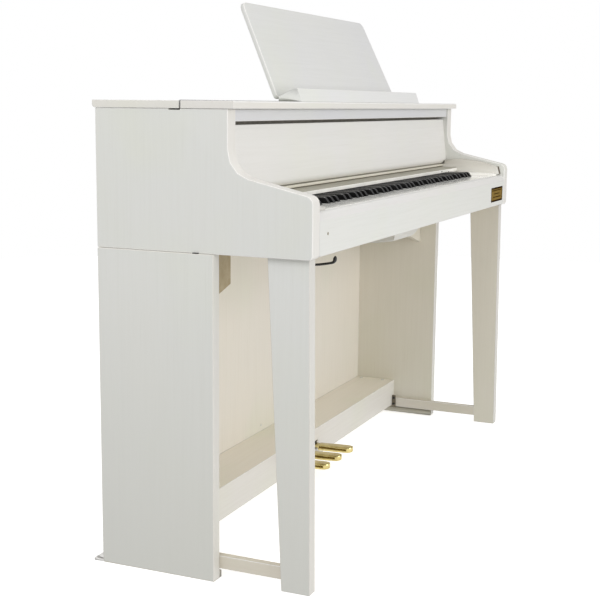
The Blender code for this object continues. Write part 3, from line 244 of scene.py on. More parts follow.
def boardFinish(name, grain, tones, roughness=None, dulled=None):
    looks = boardLooks
    warm, cool, green, dark = boardTones[tones]
    finish = Finish(name, {"Specular IOR Level": 0.42})
    patch = finish.spread(finish.noise(looks["patchScale"], 3), 0.38, 0.62)
    streaks = finish.spread(finish.noise(1, 4, stretched(grain, looks["streakWidth"], looks["streakLength"]), 0.62), 0.40, 0.78)
    pores = finish.noise(1, 2, stretched(grain, looks["poreWidth"], 9.0), 0.55)
    openPores = finish.spread(pores, 0.60, 0.72)
    base = finish.mix(patch, warm, cool)
    base = finish.mix(finish.spread(finish.noise(4.3, 2), 0.48, 0.7), base, green)
    base = finish.mix(streaks * looks["streakShare"] + openPores * 0.22, base, dark)
    if dulled:  # painted shade: darker from one height down to another
        base = finish.mix(finish.spread(finish.along("Z"), *dulled[:2], 0, dulled[2]), base, dulled[3])
    low, high = roughness or looks["roughness"]
    rough = finish.spread(pores * 0.6 + streaks * 0.4, 0.2, 0.8, low, high)
    return finish.wear(Base_Color=base, Roughness=rough, Normal=finish.bump(pores + streaks * 0.3, looks["bump"], 0.0002))


def edgeFinish(name, edgeHighlight, worn):  # rounded board edges: a lighter tone along them is painted highlight, and the darker spots are wear where the lacquer is thin and polished by hands
    finish = Finish(name, {"Specular IOR Level": 0.5})
    rubbed = finish.spread(finish.noise(46, 4, roughness=0.62), 0.56, 0.70)
    patch = finish.noise(7, 2)
    base = finish.mix(rubbed * 0.4, finish.mix(patch, edgeHighlight, tone(238, 237, 234)), worn)
    rough = finish.spread(rubbed * 0.4 + finish.noise(320, 2) * 0.6, 0.2, 0.8, 0.3, 0.46)
    return finish.wear(Base_Color=base, Roughness=rough, Normal=finish.bump(finish.noise(260, 3), 0.08, 0.0002))


def plainFinish(name, first, second, roughness, bumpScale, bumpStrength, fixed=None, patchScale=9):
    finish = Finish(name, fixed or {})
    patch = finish.spread(finish.noise(patchScale, 4, roughness=0.6), 0.3, 0.7)
    grit = finish.noise(bumpScale, 3)
    rough = finish.spread(patch * 0.5 + grit * 0.5, 0.25, 0.75, *roughness)
    return finish.wear(Base_Color=finish.mix(patch, first, second), Roughness=rough, Normal=finish.bump(grit, bumpStrength, 0.0002))


lining = {
    "lowTone": (tone(225, 223, 216), tone(219, 217, 210)),
    "highTone": (tone(208, 204, 195), tone(202, 198, 188)),
    "fade": (0.7420, 0.7640),  # the keys brighten the lining's foot
}


def liningFinish():
    finish = Finish("creamLining", {"Specular IOR Level": 0.45})
    patch = finish.spread(finish.noise(9, 4, roughness=0.6), 0.3, 0.7)
    grit = finish.noise(300, 3)
    height = finish.spread(finish.along("Z") + finish.noise(30, 2) * 0.004, *lining["fade"])
    base = finish.mix(height, finish.mix(patch, *lining["lowTone"]), finish.mix(patch, *lining["highTone"]))
    rough = finish.spread(patch * 0.5 + grit * 0.5, 0.25, 0.75, 0.36, 0.5)
    return finish.wear(Base_Color=base, Roughness=rough, Normal=finish.bump(grit, 0.08, 0.0002))


whiteKey = {
    "plateUnder": 0.7289,  # where the moulded top plate ends on the key's body
    "top": (tone(246, 245, 240), tone(241, 240, 235)),
    "body": (tone(232, 224, 203), tone(222, 212, 188)),
    "joint": tone(168, 160, 142),
}


def whiteKeyFinish():
    looks = whiteKey
    finish = Finish("whiteKeyTop", {"Specular IOR Level": 0.55, "Coat Weight": 0.35, "Coat Roughness": 0.06})
    height = finish.along("Z")
    patch = finish.noise(14, 3)
    rubbed = finish.spread(finish.noise(60, 3, (1, 0.35, 1)), 0.5, 0.72)
    top = finish.mix(patch, *looks["top"])
    body = finish.mix(finish.noise(1, 3, stretched("Y", 260, 8)), *looks["body"])
    under = height < looks["plateUnder"]
    joint = under * (1 - (height < looks["plateUnder"] - 0.0003))
    base = finish.mix(joint, finish.mix(under, top, body), looks["joint"])
    rough = finish.spread(under * 0.7 + rubbed * 0.3, 0, 1, 0.11, 0.55)
    grit = finish.noise(700, 2) * 0.3 + finish.noise(90, 2) * 0.7
    return finish.wear(Base_Color=base, Roughness=rough, Normal=finish.bump(grit, 0.03, 0.0002))


blackKey = {
    "body": (tone(3, 3, 4), tone(8, 8, 9)),
    # painted reflection: the grey the key tops take
    "rubbed": tone(84, 84, 86),
    "handled": (0.7405, 0.7433),  # height of the top, which fingers polish; between these heights the tops also take a grey tone, painted reflection of the surroundings at grazing angles
}


def blackKeyFinish():
    looks = blackKey
    finish = Finish("blackKeyTop", {"Specular IOR Level": 0.22})
    grain = finish.noise(1, 4, stretched("Y", 900, 60), 0.6)
    # the mask gives painted reflection in the colour and real polish in the roughness
    handled = finish.spread(finish.along("Z"), *looks["handled"]) * finish.spread(finish.noise(70, 3), 0.35, 0.7)
    base = finish.mix(handled * 0.7, finish.mix(grain, *looks["body"]), looks["rubbed"])
    rough = finish.spread(grain * 0.6 - handled * 0.3, 0, 0.6, 0.26, 0.42)
    return finish.wear(Base_Color=base, Roughness=rough, Normal=finish.bump(grain, 0.14, 0.0002))


def brassFinish(name, bright, dull, roughness, fixed, brushed="Y"):
    finish = Finish(name, {"Metallic": 1.0, **fixed})
    tarnish = finish.spread(finish.noise(38, 5, roughness=0.65), 0.42, 0.74)
    strokes = finish.noise(1, 2, stretched(brushed, 1400, 30), 0.6)
    base = finish.mix(tarnish * 0.7 + strokes * 0.25, bright, dull)
    rough = finish.spread(tarnish * 0.6 + strokes * 0.4, 0.1, 0.8, *roughness)
    return finish.wear(Base_Color=base, Roughness=rough, Normal=finish.bump(strokes, 0.06, 0.0001))


def circuitFinish():
    finish = Finish("circuitGreen", {"Specular IOR Level": 0.5})
    lanes = finish.add("ShaderNodeTexBrick", {}, {"Vector": finish.place, "Scale": 90, "Mortar Size": 0.03}, 1)
    base = finish.mix(lanes, tone(24, 84, 52), tone(46, 116, 74))
    pads = finish.spread(finish.noise(420, 1), 0.66, 0.68)
    base = finish.mix(pads, base, tone(188, 186, 176))
    return finish.wear(Base_Color=base, Roughness=finish.spread(lanes, 0, 1, 0.3, 0.45), Normal=finish.bump(lanes, 0.3, 0.0002))


finishes = {
    "boardX": boardFinish("paleBoardAcross", "X", "outer"),
    "boardY": boardFinish("paleBoardDeep", "Y", "outer"),
    # painted shade: the upright boards darken from 0.60 m down to the floor, standing in for light that falls off
    # towards the floor
    "boardZ": boardFinish("paleBoardUpright", "Z", "outer", dulled=(0.60, 0.0, 0.8, tone(206, 206, 199))),
    "bandX": boardFinish("edgeBandAcross", "X", "band"),
    "bandZ": boardFinish("edgeBandUpright", "Z", "band"),
    "foreZ": boardFinish("armBandUpright", "Z", "fore"),
    "legBandZ": boardFinish("legBandUpright", "Z", "legBand"),
    "boxTop": boardFinish("boxTopAcross", "X", "boxTop"),
    "boxFront": boardFinish("boxFrontAcross", "X", "boxFront"),
    "ledge": boardFinish("ledgeAcross", "X", "ledge"),
    # painted bounce light: warmer copies of the board for the inner faces
    "innerY": boardFinish("innerBoardDeep", "Y", "inner"),
    "innerZ": boardFinish("innerBoardUpright", "Z", "inner"),
    "innerX": boardFinish("innerBoardAcross", "X", "inner"),
    # painted light in a lighter tone for the slanted panel under the lid, and painted shade along its lower edge from
    # 0.770 m down
    "frontX": boardFinish("frontBoard", "X", "front", (0.34, 0.50), (0.7700, 0.7600, 0.35, tone(168, 163, 142))),
    "slipTop": boardFinish("slipTopAcross", "X", "slipTop"),
    "footRail": boardFinish("footRailDeep", "Y", "footRail"),
    "foot": boardFinish("footBoard", "Y", "foot"),
    "rail": boardFinish("railLacquer", "X", "rail", (0.34, 0.48)),
    "back": boardFinish("backBoard", "Z", "back", (0.55, 0.70)),
    "desk": boardFinish("deskBoard", "X", "desk"),
    "edge": edgeFinish("roundedEdge", tone(227, 225, 221), tone(211, 206, 197)),
    "cream": liningFinish(),
    # painted light: a near-white lit copy of the cream for the right key block, the control rail's front and the
    # slanted panel's top band
    "creamLip": plainFinish("creamLip", tone(250, 248, 242), tone(245, 243, 236), (0.28, 0.4), 300, 0.06),
    # painted shade: a darker copy of the same cream for the left key block
    "blockLip": plainFinish("blockLip", tone(206, 204, 199), tone(198, 196, 190), (0.34, 0.48), 300, 0.08),
    # painted shade: the control rail's top, shaded by the slanted panel and the key cover
    "railTop": plainFinish("railTop", tone(172, 168, 154), tone(163, 159, 144), (0.5, 0.66), 380, 0.14, patchScale=26),
    "coverEdge": plainFinish("coverEdge", tone(217, 213, 200), tone(209, 205, 190), (0.36, 0.5), 300, 0.08),
    # painted shade: the left corner gusset is brown, darker than its twin on the right, for the shade beside the left
    # panel
    "raw": plainFinish("rawBoard", tone(172, 158, 128), tone(158, 143, 112), (0.6, 0.78), 420, 0.2, patchScale=60),
    # painted shadow for the linings' front ends
    "endStrip": plainFinish("endStrip", tone(118, 108, 94), tone(98, 88, 76), (0.6, 0.75), 260, 0.12),
    "shade": plainFinish("shadedRecess", tone(150, 142, 124), tone(136, 128, 110), (0.6, 0.75), 260, 0.12),
    "whiteKey": whiteKeyFinish(),
    "blackKey": blackKeyFinish(),
    "brass": brassFinish("polishedBrass", tone(222, 207, 148), tone(154, 134, 74), (0.12, 0.30), {}),
    # painted reflection: dark brass for the hollow along the pedals' sides, standing in for dark surroundings
    # reflected there
    "brassShade": brassFinish("tarnishedBrass", tone(112, 90, 38), tone(66, 50, 16), (0.34, 0.5), {}),
    "bronze": brassFinish("brushedBronze", tone(162, 138, 92), tone(128, 106, 64), (0.36, 0.5), {"Specular Tint": (0.75, 0.62, 0.36, 1)}, "X"),
    "bronzeRim": brassFinish("bronzeRim", tone(88, 74, 44), tone(62, 52, 30), (0.3, 0.44), {"Specular Tint": (0.3, 0.24, 0.12, 1)}, "X"),
    "steel": plainFinish("brightSteel", tone(196, 196, 197), tone(168, 168, 170), (0.22, 0.38), 260, 0.05, {"Metallic": 1.0}),
    "darkSteel": plainFinish("darkSteel", tone(122, 114, 100), tone(94, 88, 76), (0.4, 0.6), 300, 0.1, {"Metallic": 0.8}),
    "blackPlastic": plainFinish("blackPlastic", tone(10, 10, 11), tone(17, 17, 18), (0.34, 0.5), 520, 0.15),
    "felt": plainFinish("blackFelt", tone(18, 17, 16), tone(28, 26, 24), (0.85, 0.98), 1500, 0.5, {"Sheen Weight": 0.2}, 120),
    "cloth": plainFinish("greyCloth", tone(132, 128, 118), tone(112, 108, 99), (0.85, 0.98), 1500, 0.5, {"Sheen Weight": 0.2}, 90),
    "whitePlastic": plainFinish("whitePlastic", tone(216, 215, 210), tone(209, 208, 202), (0.32, 0.46), 420, 0.08),
    "circuit": circuitFinish(),
}
print("finishes ready:", len(finishes))

slotFinish = {
    "pale_board": "boardZ",
    "rail_lacquer": "rail",
    "cream_lining": "cream",
    "back_board": "back",
    "white_key": "whiteKey",
    "black_key": "blackKey",
    "brass": "brass",
    "steel": "steel",
    "black_plastic": "blackPlastic",
    "white_plastic": "whitePlastic",
    "circuit": "circuit",
}
nodeSlot = {}
for name, node in nodes.items():
    nodeSlot[name] = node.material_slots[0].material.name.split(".")[0]
    node.material_slots[0].material = finishes[slotFinish[nodeSlot[name]]]


def pickUp(*pieces):  # only these are selected, and the last one is active
    bpy.ops.object.select_all(action="DESELECT")
    for piece in pieces:
        piece.select_set(True)
    bpy.context.view_layer.objects.active = pieces[-1]


def chooseFaces(piece, test):  # into edit mode with only these faces selected
    pickUp(piece)
    bpy.context.tool_settings.mesh_select_mode = (False, False, True)
    for part in (*piece.data.vertices, *piece.data.edges):
        part.select = False
    for face in piece.data.polygons:
        face.select = test(face)
    bpy.ops.object.mode_set(mode="EDIT")


def chooseEdges(piece, test):  # the same with edges, given by their two ends
    pickUp(piece)
    bpy.context.tool_settings.mesh_select_mode = (False, True, False)
    for part in (*piece.data.vertices, *piece.data.polygons):
        part.select = False
    points = piece.data.vertices
    for edge in piece.data.edges:
        edge.select = test(points[edge.vertices[0]].co, points[edge.vertices[1]].co)
    bpy.ops.object.mode_set(mode="EDIT")


def leaveEdit():
    bpy.ops.object.mode_set(mode="OBJECT")


def modify(piece, kind, **settings):
    made = piece.modifiers.new(kind.lower(), kind)
    for name, value in settings.items():
        setattr(made, name, value)
    pickUp(piece)
    bpy.ops.object.modifier_apply(modifier=made.name)


def smooth(piece, degrees=50):
    pickUp(piece)
    bpy.ops.object.shade_smooth_by_angle(angle=math.radians(degrees))
    modify(piece, "WEIGHTED_NORMAL", weight=80, keep_sharp=True)


def settle(piece, name, body, slot, *materials):  # its name, what it moves with, and its finish
    piece.name = piece.data.name = name
    for material in materials:
        piece.data.materials.append(finishes[material])
    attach(piece, body)
    return piece


def copyOf(node, name):  # a node's mesh as a new piece, its corners merged
    piece = bpy.data.objects.new(name, nodes[node].data.copy())
    bpy.context.scene.collection.objects.link(piece)
    piece.data.materials.clear()
    chooseFaces(piece, lambda face: True)
    bpy.ops.mesh.remove_doubles(threshold=0.00002)
    leaveEdit()
    return piece


boards = {  # node: its axis across the board, and the finishes of outer face, inner face, bands and rounded edges
    "side_panel": ("X", "boardZ", "boardZ", "foreZ"),
    "lower_side_panel": ("X", "boardZ", "innerZ", "bandZ", "bandZ"),
    "leg": ("X", "boardZ", "innerZ", "legBandZ", "legBandZ"),
    "foot_rail": ("X", "footRail", "footRail", "footRail"),
    "foot_plate": ("X", "foot", "foot", "foot"),
    "cheek_lining": ("X", "cream", "cream", "cream", "cream"),
    "key_block_left": ("X", "blockLip", "blockLip", "blockLip", "blockLip"),
    "key_block_right": ("X", "creamLip", "creamLip", "creamLip", "creamLip"),
    "corner_gusset_left": ("Y", "raw", "raw", "raw", "raw"),
    "corner_gusset_right": ("Y", "innerX", "innerX", "innerX", "innerX"),
    "lid_rear_board": ("Z", "boardX", "boardX", "bandX"),
    "lid_front_board": ("Z", "boardX", "boardX", "bandX"),
    "upper_front_rail": ("Y", "rail", "rail", "rail"),
    "slanted_front_panel": ("Y", "frontX", "boardX", "creamLip", "frontX"),
    "key_slip": ("Y", "boardX", "boardX", "slipTop", "slipTop"),
    "control_rail": ("Z", "railTop", "cream", "creamLip", "creamLip"),
    "key_cover": ("Z", "coverEdge", "coverEdge", "coverEdge", "coverEdge"),
    "desk_ledge": ("Y", "ledge", "ledge", "ledge"),
    "music_desk": ("Y", "desk", "desk", "desk"),
    "pedal_box": ("Y", "boardX", "boxFront", "boxTop"),
    "lower_back_panel": ("Y", "back", "back", "back"),
    "upper_back_panel": ("Y", "back", "back", "back"),
    "key_bed": ("Z", "back", "back", "back"),
}


boardMoves = {  # how far a dressed board differs from its plain solid, in metres
    "legForward": 0.0036,  # the front face of a leg
    "railLower": 0.0065,  # the top of a foot rail
    "legBack": 0.0020,  # the rear edge of a leg
    "panelBack": 0.0024,  # the rear edge of a lower side panel
    "panelDown": 0.0138,  # the lower side panels hide the foot plates down to the floor
    "plateIn": 0.0016,
    "plateShort": 0.0060,  # the rear end of a foot plate
    "ledgeSmooth": 28,  # degrees, so that the ledge's long faces stay flat
    "slotLess": 0.0010,  # the top of the slanted panel, up into the slot
    "slipLower": 0.0034,  # the top of the key slip, level with the white keys
    "coverThin": 0.0012,  # the top of the key cover, clear of the slanted panel's lower edge
    "coverSlope": math.radians(3.5),
    "turnUnder": ((-0.0555, 0.7753), (0.0119, 0.0145)),  # centre and radii of the slanted panel's lower edge
}


def moveBoard(piece, node):
    low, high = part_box(node)
    moves = boardMoves
    outward = 1 if low.x + high.x > 0 else -1
    for point in piece.data.vertices:
        place = point.co
        if node.startswith("leg_") and place.y < low.y + 0.003:
            place.y -= moves["legForward"]
        if node.startswith("leg_") and place.y > low.y + 0.020:
            place.y += moves["legBack"]
        if node.startswith("lower_side_panel") and place.y > high.y - 0.004:
            place.y += moves["panelBack"]
        if node == "slanted_front_panel" and place.z > high.z - 0.004:
            place.z += moves["slotLess"]
        if node.startswith("foot_rail") and place.z > high.z - 0.004:
            place.z -= moves["railLower"]
        if node.startswith("lower_side_panel") and place.z < low.z + 0.004:
            place.z -= moves["panelDown"]
        if node.startswith("foot_plate") and place.y < 0.214:
            place.y = max(place.y, -0.0400)
            if place.x * outward > 0.714:
                place.x -= outward * moves["plateIn"]
        if node.startswith("foot_plate") and place.y > 0.2135:
            place.y -= moves["plateShort"]
        if node == "key_cover" and place.z - low.z - (place.y - low.y) * math.tan(moves["coverSlope"]) > 0.0040:
            place.z -= moves["coverThin"]
        if node == "key_slip" and place.z > high.z - 0.0045:
            place.z -= moves["slipLower"]
        if node == "slanted_front_panel" and place.z < low.z + 0.008 and place.y < -0.058:
            (midY, midZ), (reachY, reachZ) = moves["turnUnder"]
            turn = math.acos(max(-1, min(1, (place.z - 0.7618) / 0.0067)))
            place.y, place.z = midY - reachY * math.cos(turn), midZ - reachZ * math.sin(turn)


def shadeLiningTop(piece):  # painted shade along the joint between the lining's arched top and the side panel
    for side in (-1, 1):
        chooseFaces(piece, lambda face: True)
        bpy.ops.mesh.bisect(plane_co=(side * 0.6768, 0, 0), plane_no=(1, 0, 0))
        leaveEdit()
    for face in piece.data.polygons:
        if abs(face.center.x) > 0.6768 and face.normal.z > 0.3:
            face.material_index = 4


def shadeCoverFoot(piece, low):  # painted shade: a dark band along the key cover's front foot, for the shadow in the gap above the rail
    foot = low.z + 0.0015
    chooseFaces(piece, lambda face: True)
    bpy.ops.mesh.bisect(plane_co=(0, 0, foot), plane_no=(0, 0, 1))
    leaveEdit()
    for face in piece.data.polygons:
        if face.center.z < foot and face.center.y < low.y + 0.006 and face.normal.y < -0.1:
            face.material_index = 4


def lightenPlateEnd(piece):  # painted light: the rear end of a foot plate, which stands out behind the panel, takes the lighter edge finish
    chooseFaces(piece, lambda face: True)
    bpy.ops.mesh.bisect(plane_co=(0, 0.2126, 0), plane_no=(0, 1, 0))
    leaveEdit()
    for face in piece.data.polygons:
        if face.center.y > 0.2126:
            face.material_index = 3


def dressBoard(node, axis, outer, inner, band, rounded="edge"):
    piece = copyOf(node, node)
    moveBoard(piece, node)
    across = "XYZ".index(axis)
    low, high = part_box(node)
    outward = 1 if low[across] + high[across] > 0 else -1
    broad = max(piece.data.polygons, key=lambda face: face.area * abs(face.normal[across])).normal.copy()
    broad *= outward * math.copysign(1, broad[across])
    for face in piece.data.polygons:
        turn = face.normal.dot(broad)
        straight = max(abs(c) for c in face.normal) > 0.999
        if abs(turn) > 0.97:
            face.material_index = 0 if turn > 0 else 1
        elif straight or abs(turn) < 0.02:
            face.material_index = 2
        else:
            face.material_index = 3
    if node.startswith("cheek_lining"):
        shadeLiningTop(piece)
    if node == "key_cover":
        shadeCoverFoot(piece, low)
    if node.startswith("foot_plate"):
        lightenPlateEnd(piece)
    smooth(piece, boardMoves["ledgeSmooth"] if node == "desk_ledge" else 50)
    words = node.split("_")
    name = words[0] + "".join(word.title() for word in words[1:]) + "Dressed"
    settle(piece, name, nodes[node]["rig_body"], nodeSlot[node], outer, inner, band, rounded, "shade")
    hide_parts(node)
    return piece


dressed = {}
for kind, looks in boards.items():
    for node in (kind, kind + "_left", kind + "_right"):
        if node in nodes:
            dressed[node] = dressBoard(node, *looks)
print("boards dressed:", len(dressed))

keyEdges = {"white": 0.0005, "black": 0.0009}


def dressKeys():
    for node, kind in nodeSlot.items():
        if kind not in ("white_key", "black_key"):
            continue
        piece = copyOf(node, node)
        chooseFaces(piece, lambda face: True)
        bpy.ops.mesh.dissolve_limited(angle_limit=math.radians(0.5))
        leaveEdit()
        modify(piece, "BEVEL", width=keyEdges[kind.split("_")[0]], segments=2, limit_method="ANGLE", angle_limit=math.radians(50))
        smooth(piece, 60)
        words = node.split("_")
        name = words[0] + "".join(word.title() for word in words[1:]) + "Rounded"
        settle(piece, name, nodes[node]["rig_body"], kind, slotFinish[kind])
        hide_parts(node)


dressKeys()
print("keys rounded")

pedal = {
    "boxFront": 0.0795,  # the box's front face, where the neck comes out
    "pivot": 0.1185,
    "neckDrop": 0.0045,
    "tipDrop": 0.0024,
    "tip": -0.0233,
    "shoulder": 0.0686,  # where the thin neck becomes the head
    "neckThin": 0.0026,  # how far the neck's top lies under the head's
    "neckLift": 0.0030,  # how far its underside is raised, clear of the slot when it is pressed
    "deeper": (0.0050, 0.0020),  # how much further down the head's skirt reaches, at shoulder and tip
    "groove": (0.0548, 0.0588),  # the hollow along the head's sides
    "hollow": 0.0012,
}


def shapePedal(side):
    piece = copyOf("pedal_" + side, "pedal")
    chooseFaces(piece, lambda face: True)
    bpy.ops.mesh.dissolve_limited(angle_limit=math.radians(0.5))
    shoulder, (grooveLow, grooveHigh) = pedal["shoulder"], pedal["groove"]
    for y in (shoulder + 0.0012, shoulder, 0.064, 0.052, 0.038, 0.024, 0.010, -0.002, -0.011):
        bpy.ops.mesh.select_all(action="SELECT")
        bpy.ops.mesh.bisect(plane_co=(0, y, 0), plane_no=(0, 1, 0))
    for z in (grooveHigh, grooveLow):
        bpy.ops.mesh.select_all(action="SELECT")
        bpy.ops.mesh.bisect(plane_co=(0, 0, z), plane_no=(0, 0, 1))
    leaveEdit()
    low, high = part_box("pedal_" + side)
    middle = (low[0] + high[0]) / 2
    chooseFaces(piece, lambda face: abs(face.normal.x) > 0.6 and grooveLow < face.center.z < grooveHigh and -0.011 < face.center.y < shoulder)
    bpy.ops.mesh.inset(thickness=0.0007)
    leaveEdit()
    for face in piece.data.polygons:
        if face.select:
            # painted reflection: the hollow takes the dark brass
            face.material_index = 1
            for index in face.vertices:
                place = piece.data.vertices[index].co
                place.x = middle + math.copysign(min(abs(place.x - middle), abs(place.x - middle) - pedal["hollow"]), place.x - middle)
    hollowed = {index for face in piece.data.polygons if face.select for index in face.vertices}
    for index in hollowed:
        place = piece.data.vertices[index].co
        place.x = middle + math.copysign(max(abs(place.x - middle), 0.0085), place.x - middle)
    for point in piece.data.vertices:
        place = point.co
        share = min(1, max(0, (pedal["boxFront"] - place.y) / (pedal["boxFront"] - pedal["tip"])))
        inside = min(1, max(0, (pedal["pivot"] - 0.012 - place.y) / (pedal["pivot"] - 0.012 - pedal["boxFront"])))
        drop = inside * (pedal["neckDrop"] * (1 - share) + pedal["tipDrop"] * share)
        crown = 0.0009 * share * (1 - min(1, abs(place.x - middle) / 0.0145) ** 2)
        onHead = place.y < shoulder + 0.0004
        if onHead:
            deeper = pedal["deeper"][0] * (1 - share) + pedal["deeper"][1] * share
            place.z -= deeper * min(1, max(0, (grooveHigh - place.z) / (grooveHigh - 0.0512)))
            place.z += crown if place.z > 0.060 else 0
        elif place.z > 0.060:
            place.z -= pedal["neckThin"] * inside
        elif place.z < 0.0530:
            place.z += pedal["neckLift"] * inside
        place.z -= drop
    modify(piece, "SUBSURF", levels=1, render_levels=1, subdivision_type="SIMPLE")
    smooth(piece, 40)
    settle(piece, "pedal" + side.title() + "Cast", "pedal_" + side, "brass", "brass", "brassShade")
    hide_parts("pedal_" + side)


for side in ("left", "middle", "right"):
    shapePedal(side)
print("pedals shaped")

housing = {"mouth": 0.6497}


def shapeHousing():
    piece = copyOf("speaker_housing", "speaker_housing")
    smooth(piece, 42)
    settle(piece, "speakerHousingMoulded", nodes["speaker_housing"]["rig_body"], "white_plastic", "whitePlastic")
    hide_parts("speaker_housing")


def shapeHook():
    piece = copyOf("headphone_hook", "headphone_hook")
    modify(piece, "SUBSURF", levels=2, render_levels=2)
    modify(piece, "DISPLACE", strength=0.0004, mid_level=0.0)
    smooth(piece, 60)
    settle(piece, "headphoneHookRound", nodes["headphone_hook"]["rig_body"], "black_plastic", "blackPlastic")
    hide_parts("headphone_hook")


shapeHousing()
shapeHook()
print("housing and hook shaped")

screw = {
    "radius": 0.0036,
    "height": 0.0013,
    "recess": 0.0009,
    "crossReach": (0.56, 0.22, 0.15, 0.22),  # of the radius, from one arm of the cross to the next
    "root": [  # place and the way it faces
        *(((x, 0.2108, z), (0, 1, 0)) for x in (-0.66, -0.33, 0.0, 0.33, 0.66) for z in (0.045, 0.625)),
        *(((x, 0.2108, 0.335), (0, 1, 0)) for x in (-0.66, 0.66)),
        *(((x, 0.2140, z), (0, 1, 0)) for x in (-0.655, -0.25, 0.15, 0.655) for z in (0.662, 0.900)),
        *(((x, y, 0.6500), (0, 0, -1)) for x in (-0.62, -0.31, 0.0, 0.47, 0.62) for y in (-0.190, 0.150)),
        *(((x, 0.0265, 0.630), (0, 1, 0)) for x in (-0.66, -0.60, 0.60, 0.66)),
    ],
}


def makeScrew():
    bpy.ops.mesh.primitive_cylinder_add(vertices=16, radius=screw["radius"], depth=screw["height"], location=(0, 0, screw["height"] / 2))
    piece = bpy.context.object
    pickUp(piece)
    bpy.ops.object.transform_apply(location=True, rotation=True, scale=True)
    chooseFaces(piece, lambda face: face.normal.z > 0.9)
    bpy.ops.mesh.bevel(offset=0.0005, segments=2, affect="EDGES")
    leaveEdit()
    chooseFaces(piece, lambda face: face.normal.z > 0.99)
    bpy.ops.mesh.inset(thickness=screw["radius"] * 0.2)
    leaveEdit()
    top = max(piece.data.polygons, key=lambda face: (face.select, face.area if face.normal.z > 0.99 else 0))
    for index in top.vertices:
        place = piece.data.vertices[index].co
        turn = math.atan2(place.y, place.x)
        arm = round(turn / (math.pi / 8)) % 4
        place.xy = Vector((math.cos(turn), math.sin(turn))) * screw["radius"] * screw["crossReach"][arm]
    chooseFaces(piece, lambda face: face.index == top.index)
    bpy.ops.mesh.extrude_region_move(TRANSFORM_OT_translate={"value": (0, 0, -screw["recess"])})
    leaveEdit()
    return piece


cap = {"radius": 0.0050, "height": 0.0016, "round": 0.0011}


def makeCap(radius, height, rounding):
    bpy.ops.mesh.primitive_cylinder_add(vertices=24, radius=radius, depth=height, location=(0, 0, height / 2))
    piece = bpy.context.object
    pickUp(piece)
    bpy.ops.object.transform_apply(location=True, rotation=True, scale=True)
    chooseFaces(piece, lambda face: face.normal.z > 0.9)
    bpy.ops.mesh.bevel(offset=rounding, segments=3, affect="EDGES")
    leaveEdit()
    return piece


def spreadCopies(template, name, body, slot, material, places):  # one piece of many copies
    copies = []
    for place, facing in places:
        made = bpy.data.objects.new(name, template.data.copy())
        bpy.context.scene.collection.objects.link(made)
        turn = Vector(facing).to_track_quat("Z", "Y").to_matrix().to_4x4()
        made.data.transform(Matrix.Translation(place) @ turn)
        copies.append(made)
    pickUp(*copies)
    if len(copies) > 1:
        bpy.ops.object.join()
    bpy.data.objects.remove(template)
    piece = bpy.context.object
    smooth(piece, 35)
    return settle(piece, name, body, slot, material)


def makeBar(low, high, rounding, segments=2):  # a bar with rounded edges between two corners
    bpy.ops.mesh.primitive_cube_add(size=1, location=[(a + b) / 2 for a, b in zip(low, high)])
    piece = bpy.context.object
    pickUp(piece)
    piece.scale = [abs(b - a) for a, b in zip(low, high)]
    bpy.ops.object.transform_apply(location=True, rotation=True, scale=True)
    chooseFaces(piece, lambda face: True)
    bpy.ops.mesh.bevel(offset=rounding, segments=segments, affect="EDGES")
    leaveEdit()
    return piece


def joinPieces(pieces, name, body, slot, *materials):
    pickUp(*pieces)
    if len(pieces) > 1:
        bpy.ops.object.join()
    piece = bpy.context.object
    smooth(piece, 40)
    return settle(piece, name, body, slot, *materials)


def bothSides(low, high, rounding):  # the same bar at the left and the right end
    flip = [(-b, -a) for a, b in [(low[0], high[0])]][0]
    return [makeBar(low, high, rounding), makeBar((flip[0], *low[1:]), (flip[1], *high[1:]), rounding)]


smallBars = {  # name: lowest and highest corner at the right-hand end, rounding, slot and finish
    # painted shade: black felt strips fill the seam between upper and lower side panels and the notch under the lid
    "seamPads": ((0.7132, -0.0087, 0.6464), (0.7160, 0.0041, 0.6482), 0.0004, "black_plastic", "felt"),
    "notchPads": ((0.6990, 0.0304, 0.9142), (0.7131, 0.0484, 0.9165), 0.0004, "black_plastic", "felt"),
    "boxBrackets": ((0.6716, 0.0672, 0.0165), (0.6738, 0.0788, 0.0535), 0.0005, "steel", "darkSteel"),
}
for name, (low, high, rounding, slot, finish) in smallBars.items():
    joinPieces(bothSides(low, high, rounding), name, "cabinet", slot, finish)

slotCloth = {"low": (-0.6792, -0.0386, 0.8740), "high": (0.6792, -0.0372, 0.9040)}
joinPieces([makeBar(slotCloth["low"], slotCloth["high"], 0.0003)], "slotCloth", "cabinet", "pale_board", "cloth")

# painted shadow: dark strips in the gap between each lining's front end and the side panel
liningEnd = {"x": (0.6784, 0.6799), "front": (-0.2304, -0.2268), "high": (0.7349, 0.7560), "lean": 0.0058}


def makeLiningEndShadows():
    strips = []
    for side in (-1, 1):
        near, far = sorted(side * x for x in liningEnd["x"])
        strip = makeBar((near, liningEnd["front"][0], liningEnd["high"][0]), (far, liningEnd["front"][1], liningEnd["high"][1]), 0.0003)
        for point in strip.data.vertices:
            share = (point.co.z - liningEnd["high"][0]) / (liningEnd["high"][1] - liningEnd["high"][0])
            point.co.y += liningEnd["lean"] * share
        strips.append(strip)
    joinPieces(strips, "liningEndStrips", "cabinet", "black_plastic", "endStrip")


makeLiningEndShadows()
print("pads, cloth and brackets set")

plate = {
    "rim": 0.0040,
    "sunk": 0.0003,
    "rule": 0.0024,
    "rules": [(0.6925, 0.012), (0.6832, 0.034), (0.6740, 0.022)],  # height of each, and how far in from the sides
}


